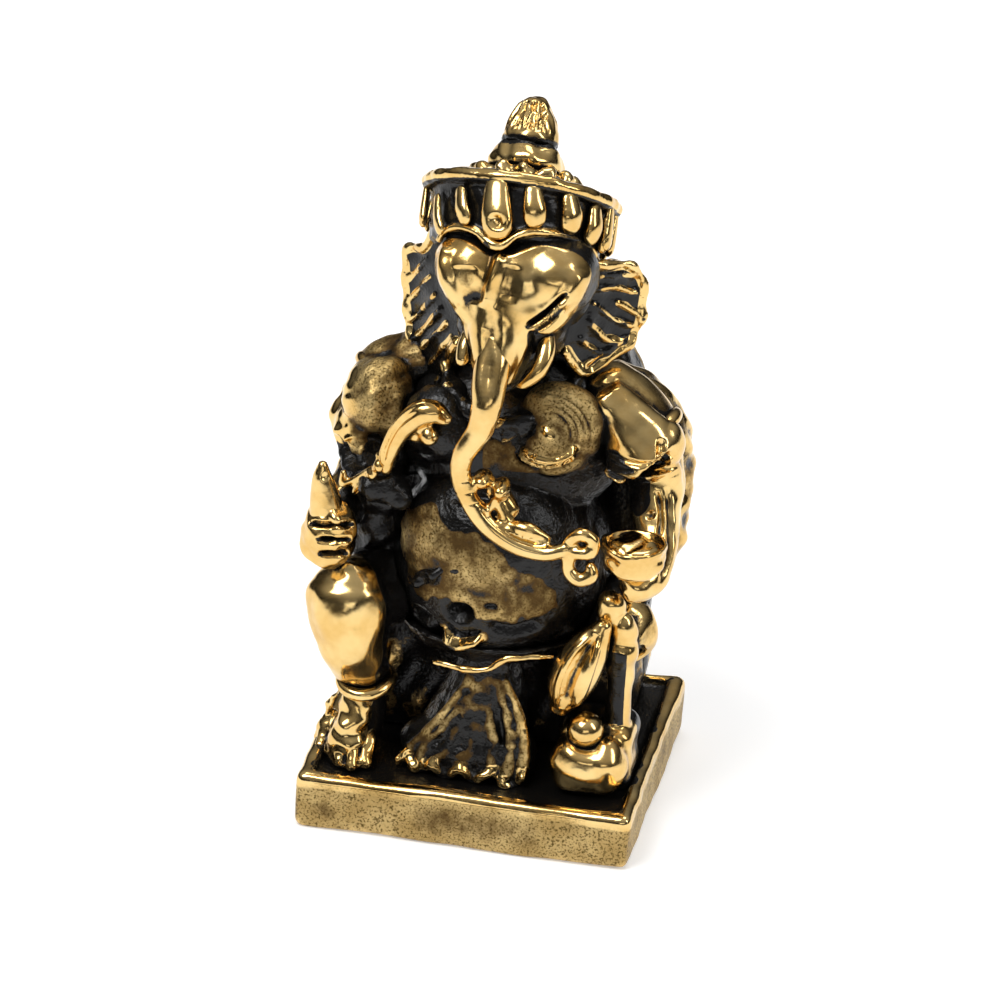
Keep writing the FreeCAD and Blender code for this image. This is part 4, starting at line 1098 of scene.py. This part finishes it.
def make_right_arms():
    rear = weld([taken("right_rear_arm"), blob((-5.3, -0.4, 17.1), (1.55, 1.7, 1.75)),
            blob((-6.2, -0.6, 15.6), (1.1, 1.3, 1.2)), tube([(-4.9, -3.0, 14.4, 0.75),
            (-4.2, -2.9, 14.2, 0.6), (-3.9, -3.0, 14.0, 0.5)], 6, 16)], 6)
    finer(rear)
    stroke(rear, [(-7.3, -0.9, 15.3), (-6.3, -2.0, 14.9), (-5.0, -2.3, 15.2), (-4.2, -2.0, 16.0)], 0.5, 0.55)
    stroke(rear, [(-7.2, 0.2, 14.8), (-6.9, -0.6, 14.6), (-6.4, -1.2, 14.4)], 0.3, -0.2)
    rumple(rear, 0.45, 0.06, 61)
    rumple(rear, 1.1, 0.12, 62)
    finished(rear, "right_rear_arm_raised", "right_rear_arm", SATIN,
            lambda p: 0.3 + 0.7 * fade((-6.0 - p[:, 0] + 0.3 * lumps(p, 0.8, 66)) / 0.8),
            lambda p: fade((15.4 - p[:, 2] + 0.5 * lumps(p, 0.8, 65)) / 0.3) * (p[:, 0] > -7.0) * 0.8)

    front = weld([taken("right_front_arm"), blob((-5.1, -0.9, 11.8), (1.3, 1.3, 2.8)),
            blob((-5.1, -1.3, 13.4), (1.1, 1.1, 1.3))], 5)
    rumple(front, 0.7, 0.12, 63)
    finished(front, "right_front_forearm", "right_front_arm", DARK,
            patina_and_shade=lambda p: 0.5 * fade((p[:, 0] + 6.3) / 0.3))

    hand = weld([taken("right_hand"), blob((-6.4, -4.4, 12.8), (1.12, 0.95, 1.35)),
            blob((-6.9, -4.5, 12.3), (0.75, 0.8, 1.0))], 4)
    finer(hand)
    for left, right in (((-7.2, 13.25), (-5.3, 13.5)), ((-6.85, 12.6), (-5.4, 12.8)),
            ((-6.8, 11.95), (-5.5, 12.15))):
        middle = ((left[0] + right[0]) / 2, (left[1] + right[1]) / 2 - 0.06)
        trace(hand, [left, middle, right], KNUCKLES, 0.2, 0.42)
    trace(hand, [(-6.3, 13.9), (-6.0, 13.0), (-6.1, 12.1)], KNUCKLES, 0.3, -0.1)
    rumple(hand, 0.5, 0.05, 64)
    grooves = [[(-7.1, 13.22), (-5.4, 13.48)], [(-6.8, 12.58), (-5.5, 12.76)], [(-6.7, 11.93), (-5.6, 12.12)]]
    finished(hand, "right_fist", "right_hand", MIRROR,
            patina_and_shade=lambda p: 0.6 * fade((0.13 - gap_to(p, grooves, KNUCKLES)) / 0.05))

    tusk = weld([tube([(-6.6, -4.35, 13.5, 0.74), (-6.72, -4.35, 14.3, 0.62), (-6.84, -4.4, 15.1, 0.44),
            (-6.85, -4.4, 15.65, 0.24)], 8, 20)], 2)
    finer(tusk)
    dent(tusk, (-6.6, -4.85, 15.35), 0.3, 0.16)
    finished(tusk, "held_tusk", "broken_tusk", MIRROR)

    bar = tube([(-4.45, -3.3, 15.4, 0.34), (-4.3, -3.4, 16.2, 0.42), (-3.85, -3.45, 17.25, 0.48),
            (-3.1, -3.5, 18.1, 0.56), (-2.5, -3.5, 18.25, 0.5), (-2.1, -3.5, 18.05, 0.34)], 8, 20)
    body = weld([bar, blob((-2.67, -3.6, 17.2), 0.42, segments=20), tube([(-3.3, -3.3, 17.0, 0.3),
            (-2.7, -3.5, 17.1, 0.26)], 6, 12)], 2)
    finer(body)
    traces(body, GOAD_FRONT,
           ([(-4.7, 15.5), (-4.55, 16.4), (-4.1, 17.5), (-3.3, 18.4), (-2.5, 18.6)], 0.12, -0.1),
           ([(-4.55, 15.6), (-4.4, 16.4), (-3.95, 17.4), (-3.2, 18.15)], 0.12, 0.1))
    finished(body, "hooked_goad", "goad", MIRROR)

    strands = (
        [(-4.55, -3.35, 16.2, 0.17), (-4.7, -3.45, 15.6, 0.18), (-5.05, -3.35, 14.95, 0.17),
         (-5.7, -3.2, 14.05, 0.15)],
        [(-4.75, -3.4, 15.95, 0.16), (-4.6, -3.45, 15.4, 0.18), (-5.0, -3.3, 15.2, 0.2),
         (-5.67, -3.0, 14.55, 0.18), (-6.3, -2.8, 14.1, 0.17), (-6.28, -2.8, 14.65, 0.15)],
        [(-5.2, -3.2, 14.9, 0.17), (-4.75, -3.1, 14.6, 0.17), (-4.2, -3.2, 14.35, 0.15)],
    )
    knots = [blob((-4.7, -3.5, 15.5), 0.27, segments=14), blob((-5.0, -3.4, 15.05), 0.25, segments=14)]
    body = weld([tube(row, 4, 10) for row in strands] + knots, 0)
    finished(body, "twisted_rope", "noose", BRIGHT)


def make_left_arms():
    cuff, shoulder = Vector((5.8, -1.1, 16.35)), Vector((4.0, -0.9, 18.9))
    bell = lathe([(0, 3.3), (0.75, 3.2), (1.0, 2.7), (1.15, 2.0), (1.3, 1.3), (1.5, 0.7), (1.68, 0.2),
            (1.72, -0.05), (1.55, -0.2), (1.2, 0.1), (0, 0.3)])
    turn = (shoulder - cuff).to_track_quat("Z", "Y").to_matrix().to_4x4()
    bell.data.transform(Matrix.Translation(cuff) @ turn)
    front = weld([taken("left_front_arm"), bell, blob((6.75, -0.9, 16.9), (0.72, 1.0, 0.9)),
            tube([(6.6, -0.9, 15.6, 0.8), (6.75, -1.0, 14.0, 0.68), (6.7, -1.4, 12.4, 0.62)], 6, 20)], 4)
    finer(front)
    traces(front, SLEEVE,
           ([(4.1, 16.1), (5.2, 15.75), (6.4, 15.85), (7.4, 16.4)], 0.26, -0.22),
           ([(4.3, 16.7), (5.3, 16.3), (6.4, 16.4), (7.2, 17.0)], 0.22, 0.14),
           ([(6.55, 17.6), (6.6, 16.9), (6.75, 16.3)], 0.25, 0.2),
           ([(6.9, 15.4), (7.1, 14.0), (7.15, 12.4), (6.9, 11.0)], 0.2, 0.2),
           ([(6.5, 15.2), (6.75, 14.2), (6.7, 13.0)], 0.22, 0.18))
    # the elbow's flared cuff, and folds at its inner side
    stroke(front, [(4.6, -1.9, 16.6), (5.6, -2.0, 16.3), (6.6, -1.6, 16.5), (7.2, -0.8, 16.9)], 0.28, 0.3)
    stroke(front, [(4.3, -2.4, 16.2), (5.3, -2.5, 15.8), (6.4, -2.2, 15.9)], 0.22, -0.2)
    for k in range(2):
        stroke(front, [(4.9 + 0.25 * k, -2.6, 15.4 - 0.6 * k), (5.8 + 0.1 * k, -2.6, 15.0 - 0.6 * k),
                (6.6, -2.2, 14.9 - 0.55 * k)], 0.2, 0.16)
    rumple(front, 1.2, 0.07, 71)
    rumple(front, 0.5, 0.02, 76)

    def blackening(p):
        inner = np.hypot(p[:, 0] - 4.8, (p[:, 2] - 15.0) * 0.8) + 0.3 * lumps(p, 0.8, 74)
        return fade((1.5 - inner) / 0.2) * 0.7

    finished(front, "left_front_arm_bent", "left_front_arm", BRIGHT,
            lambda p: 0.75 + 0.25 * lumps(p, 1.2, 75), blackening)

    rear = softened("left_rear_arm", 5, (0.8, 0.14, 72))
    finished(rear, "left_rear_arm_lowered", "left_rear_arm", DARK)

    for side in ("left", "right"):
        finished(softened(f"{side}_armlet", 1), f"{side}_armlet_ring", f"{side}_armlet", BRIGHT)


def make_bowl():
    foot = Vector((6.1, -4.3, 12.7))
    bowl = lathe([(0, 0.0), (0.95, 0.0), (1.2, 0.25), (1.3, 0.6), (1.24, 0.95), (1.34, 1.12), (1.32, 1.32),
            (1.16, 1.36), (1.06, 1.1), (0, 1.0)], foot, 0, 56)
    body = weld([bowl], 2)
    rumple(body, 0.5, 0.05, 73)
    finished(body, "sweets_dish", "sweets_bowl", BRIGHT)
    body = weld([blob(foot + Vector((0, 0, 1.12)), (1.08, 1.08, 0.36), segments=40)], 1)
    rumple(body, 0.45, 0.07, 74)
    finished(body, "heap_of_sweets", "sweets", SATIN)


# ---------------------------------------------------------------- legs and feet

def make_legs():
    shin = [(-5.4, -3.6, 7.6, 1.15), (-5.0, -3.3, 6.3, 1.0), (-4.95, -3.0, 5.0, 0.8), (-5.0, -2.8, 3.2, 0.75)]
    leg = weld([taken("right_leg"), blob((-5.65, -3.7, 9.3), (1.7, 1.6, 1.95)), tube(shin, 6, 24)], 6)
    finer(leg)
    stroke(leg, [(-7.0, -3.5, 7.9), (-6.4, -4.6, 7.6), (-5.3, -4.8, 7.3), (-4.2, -4.2, 7.4)], 0.35, 0.12)
    rumple(leg, 1.0, 0.06, 81)

    def blackening(p):
        inner = p[:, 1] + 3.1 + 0.9 * (p[:, 0] + 5.6) + 0.2 * lumps(p, 0.8, 84)
        return fade(inner / 0.4) * (p[:, 0] > -5.9)

    finished(leg, "right_leg_bent", "right_leg", MIRROR, patina_and_shade=blackening)

    anklet = weld([tube([(-5.95, -3.4, 5.75, 0.24), (-5.6, -4.15, 5.5, 0.28), (-4.9, -4.45, 5.4, 0.3),
            (-4.2, -4.2, 5.5, 0.28), (-3.75, -3.4, 5.8, 0.24), (-4.2, -2.5, 5.8, 0.22),
            (-5.2, -2.4, 5.8, 0.22), (-5.95, -3.3, 5.75, 0.22)], 8, 14)], 2)
    finished(anklet, "right_anklet_ring", "right_anklet", BRIGHT)

    forms = [taken("right_foot"), blob((-5.3, -3.1, 2.9), (0.95, 1.5, 0.9)),
            tube([(-5.05, -3.35, 5.0, 0.72), (-5.2, -3.7, 4.0, 0.72), (-5.4, -4.1, 3.1, 0.8)], 6, 20),
            tube([(-5.95, -3.3, 5.0, 0.13), (-6.3, -3.1, 4.2, 0.15), (-6.7, -3.0, 3.1, 0.17),
            (-6.85, -3.0, 2.3, 0.18)], 6, 10)]
    toes = ((-6.6, -3.7, 0.25), (-6.1, -4.2, 0.26), (-5.55, -4.8, 0.29), (-5.0, -5.0, 0.31),
            (-4.5, -4.65, 0.34))
    for x, y, r in toes:
        forms.append(tube([(x * 0.75 - 1.3, y * 0.6 - 0.6, 3.5, r), (x, y + 0.5, 2.75, r),
                (x, y, 2.42, r)], 6, 12))
    foot = weld(forms, 2)
    finer(foot)
    for (x1, y1, _), (x2, y2, _) in zip(toes, toes[1:]):
        x, y = (x1 + x2) / 2, (y1 + y2) / 2
        cleft = [(x * 0.75 - 1.3, y * 0.6 - 0.5, 4.0), (x, y + 0.3, 2.9), (x, y - 0.2, 2.4)]
        stroke(foot, cleft, 0.16, 0.22, taper=0.05)
    rumple(foot, 0.5, 0.06, 82)
    finished(foot, "right_foot_toes", "right_foot", BRIGHT)

    thigh = softened("left_leg", 5, (0.8, 0.12, 83))
    finished(thigh, "left_leg_folded", "left_leg", DARK)


# ---------------------------------------------------------------- mouse and thread

def make_mouse():
    back = weld([taken("mouse_body"), blob((5.1, -3.2, 10.3), (0.62, 0.55, 0.75)),
            blob((5.7, -3.1, 9.3), (0.62, 0.6, 0.85)), blob((4.5, -3.95, 3.35), (1.45, 1.1, 1.35)),
            blob((5.3, -3.95, 3.4), (1.1, 1.0, 1.3))], 6)
    finer(back)
    dent(back, (4.6, -4.6, 4.75), 0.95, 0.2)
    rumple(back, 0.6, 0.05, 91)

    def blackening(p):
        across, up = seen(p, HAUNCH).T
        gap = 0.9 * fade((6.28 - across) / 0.1) * (up > 5.9) * (up < 9.2)
        return np.maximum(0.6 * (p[:, 1] > -2.2), gap)

    finished(back, "mouse_haunch", "mouse_body", MIRROR,
            lambda p: 0.6 + 0.3 * (p[:, 2] > 4.6) + 0.1 * lumps(p, 0.6, 92), blackening)
    line = [(3.4, -3.8, 5.9, 0.5), (3.7, -3.9, 6.8, 0.92), (4.1, -3.95, 7.9, 1.0), (4.55, -3.85, 8.9, 0.8),
            (4.95, -3.8, 9.7, 0.4)]
    head = weld([tube(line, 8, 26), blob((4.0, -3.2, 7.2), (0.9, 0.9, 1.4), (0, 20, 0))], 4)
    finer(head)
    traces(head, SNOUT,
           ([(4.8, 9.7), (4.15, 8.3), (3.75, 7.0), (3.65, 6.0)], 0.5, 0.35),
           ([(4.65, 9.6), (3.85, 8.6), (3.35, 7.2), (3.3, 6.0)], 0.18, -0.1),
           ([(4.95, 9.6), (4.75, 8.4), (4.4, 7.0), (4.0, 6.1)], 0.2, -0.16))
    finished(head, "mouse_face", "mouse_head", MIRROR)
    finished(softened("mouse_sweet", 2), "mouse_sweet_ball", "mouse_sweet", MIRROR)


def make_thread():
    body = softened("sacred_thread", 1, (0.5, 0.2, 92))
    finished(body, "sacred_thread_strand", "sacred_thread", DARK,
            patina_and_shade=lambda p: 0.2 + 0.7 * (p[:, 2] < 13))


# ---------------------------------------------------------------- making

for make in (make_plinth, make_seat, make_throne_back, make_torso, make_belt, make_skirt, make_head,
        make_trunk, make_tusks, make_ears, make_crown, make_necklace, make_right_arms, make_left_arms,
        make_bowl, make_legs, make_mouse, make_thread):
    make()
shelter_skin(MADE)


# ---------------------------------------------------------------- studio

def plain_floor():
    clear()
    bpy.ops.mesh.primitive_plane_add(size=3.0, location=(0, 0, 0))
    floor = bpy.context.object
    floor.name = "floor"
    settle(floor)
    paper = bpy.data.materials.new("white_paper")
    paper.use_nodes = True
    tree = paper.node_tree
    shader = tree.nodes["Principled BSDF"]
    shader.inputs["Roughness"].default_value = 0.9
    shader.inputs["Emission Color"].default_value = (1, 1, 1, 1)
    shader.inputs["Emission Strength"].default_value = 0.34
    fibres = node(tree, "ShaderNodeTexNoise", Scale=900.0, Detail=3.0)
    tone = blend_colours(tree, fibres.outputs["Fac"], (0.86, 0.86, 0.86, 1), (0.9, 0.9, 0.9, 1))
    tree.links.new(tone, shader.inputs["Base Color"])
    floor.data.materials.append(paper)


def soft_light(name, azimuth, elevation, distance, size, power):
    """A square soft box; azimuth 0 is in front of the figure and grows towards its left."""
    a, e = math.radians(azimuth), math.radians(elevation)
    aim = Vector((0, 0, 0.014))
    place = aim + distance * Vector((math.sin(a) * math.cos(e), -math.cos(a) * math.cos(e), math.sin(e)))
    lamp = bpy.data.lights.new(name, "AREA")
    lamp.shape = "RECTANGLE"
    lamp.size, lamp.size_y = size
    lamp.energy = power
    light = bpy.data.objects.new(name, lamp)
    light.location = place
    light.rotation_euler = (place - aim).to_track_quat("Z", "Y").to_euler()
    bpy.context.collection.objects.link(light)


def sky():
    """A dim room round the table: dark at the sides, paler overhead."""
    world = bpy.data.worlds.new("room")
    world.use_nodes = True
    bpy.context.scene.world = world
    tree = world.node_tree
    back = tree.nodes["Background"]
    way = node(tree, "ShaderNodeTexCoord").outputs["Generated"]
    split = node(tree, "ShaderNodeSeparateXYZ")
    tree.links.new(way, split.inputs[0])
    bands = node(tree, "ShaderNodeValToRGB")
    stops = bands.color_ramp.elements
    stops[0].position, stops[0].color = 0.0, (0.02, 0.02, 0.02, 1)
    stops[1].position, stops[1].color = 1.0, (0.9, 0.9, 0.92, 1)
    for position, level in ((0.12, 0.03), (0.3, 0.16), (0.5, 0.42), (0.7, 0.7)):
        stops.new(position).color = (level, level, level, 1)
    tree.links.new(split.outputs["Z"], bands.inputs["Fac"])
    tree.links.new(bands.outputs["Color"], back.inputs["Color"])
    back.inputs["Strength"].default_value = 0.5


def camera():
    azimuth, elevation, roll = math.radians(9.777), math.radians(26.355), math.radians(3.158)
    distance, middle, aim = 0.300, Vector((0, 0, 0.015)), Vector((-0.0001, -0.00085, 0.01335))
    away = Vector((math.sin(azimuth) * math.cos(elevation), -math.cos(azimuth) * math.cos(elevation),
            math.sin(elevation)))
    place = middle + away * distance
    back = (place - aim).normalized()
    side = Vector((0, 0, 1)).cross(back).normalized()
    up = back.cross(side)
    right = side * math.cos(roll) + up * math.sin(roll)
    up = back.cross(right)
    lens = bpy.data.cameras.new("camera")
    lens.sensor_width = 36
    lens.lens = 263.5
    lens.clip_start = 0.01
    lens.clip_end = 10
    eye = bpy.data.objects.new("camera", lens)
    eye.matrix_world = Matrix((right, up, back)).transposed().to_4x4()
    eye.location = place
    bpy.context.collection.objects.link(eye)
    bpy.context.scene.camera = eye


plain_floor()
sky()
soft_light("key", -38, 58, 0.42, (0.20, 0.20), 1.0)
soft_light("right_rim", 75, 35, 0.40, (0.08, 0.24), 0.35)
soft_light("front_fill", 12, 14, 0.55, (0.30, 0.08), 0.12)
soft_light("overhead", 170, 72, 0.40, (0.26, 0.16), 0.5)
camera()
bpy.context.scene.view_settings.view_transform = "Standard"
bpy.context.scene.view_settings.exposure = 0.0

bpy.context.view_layer.update()
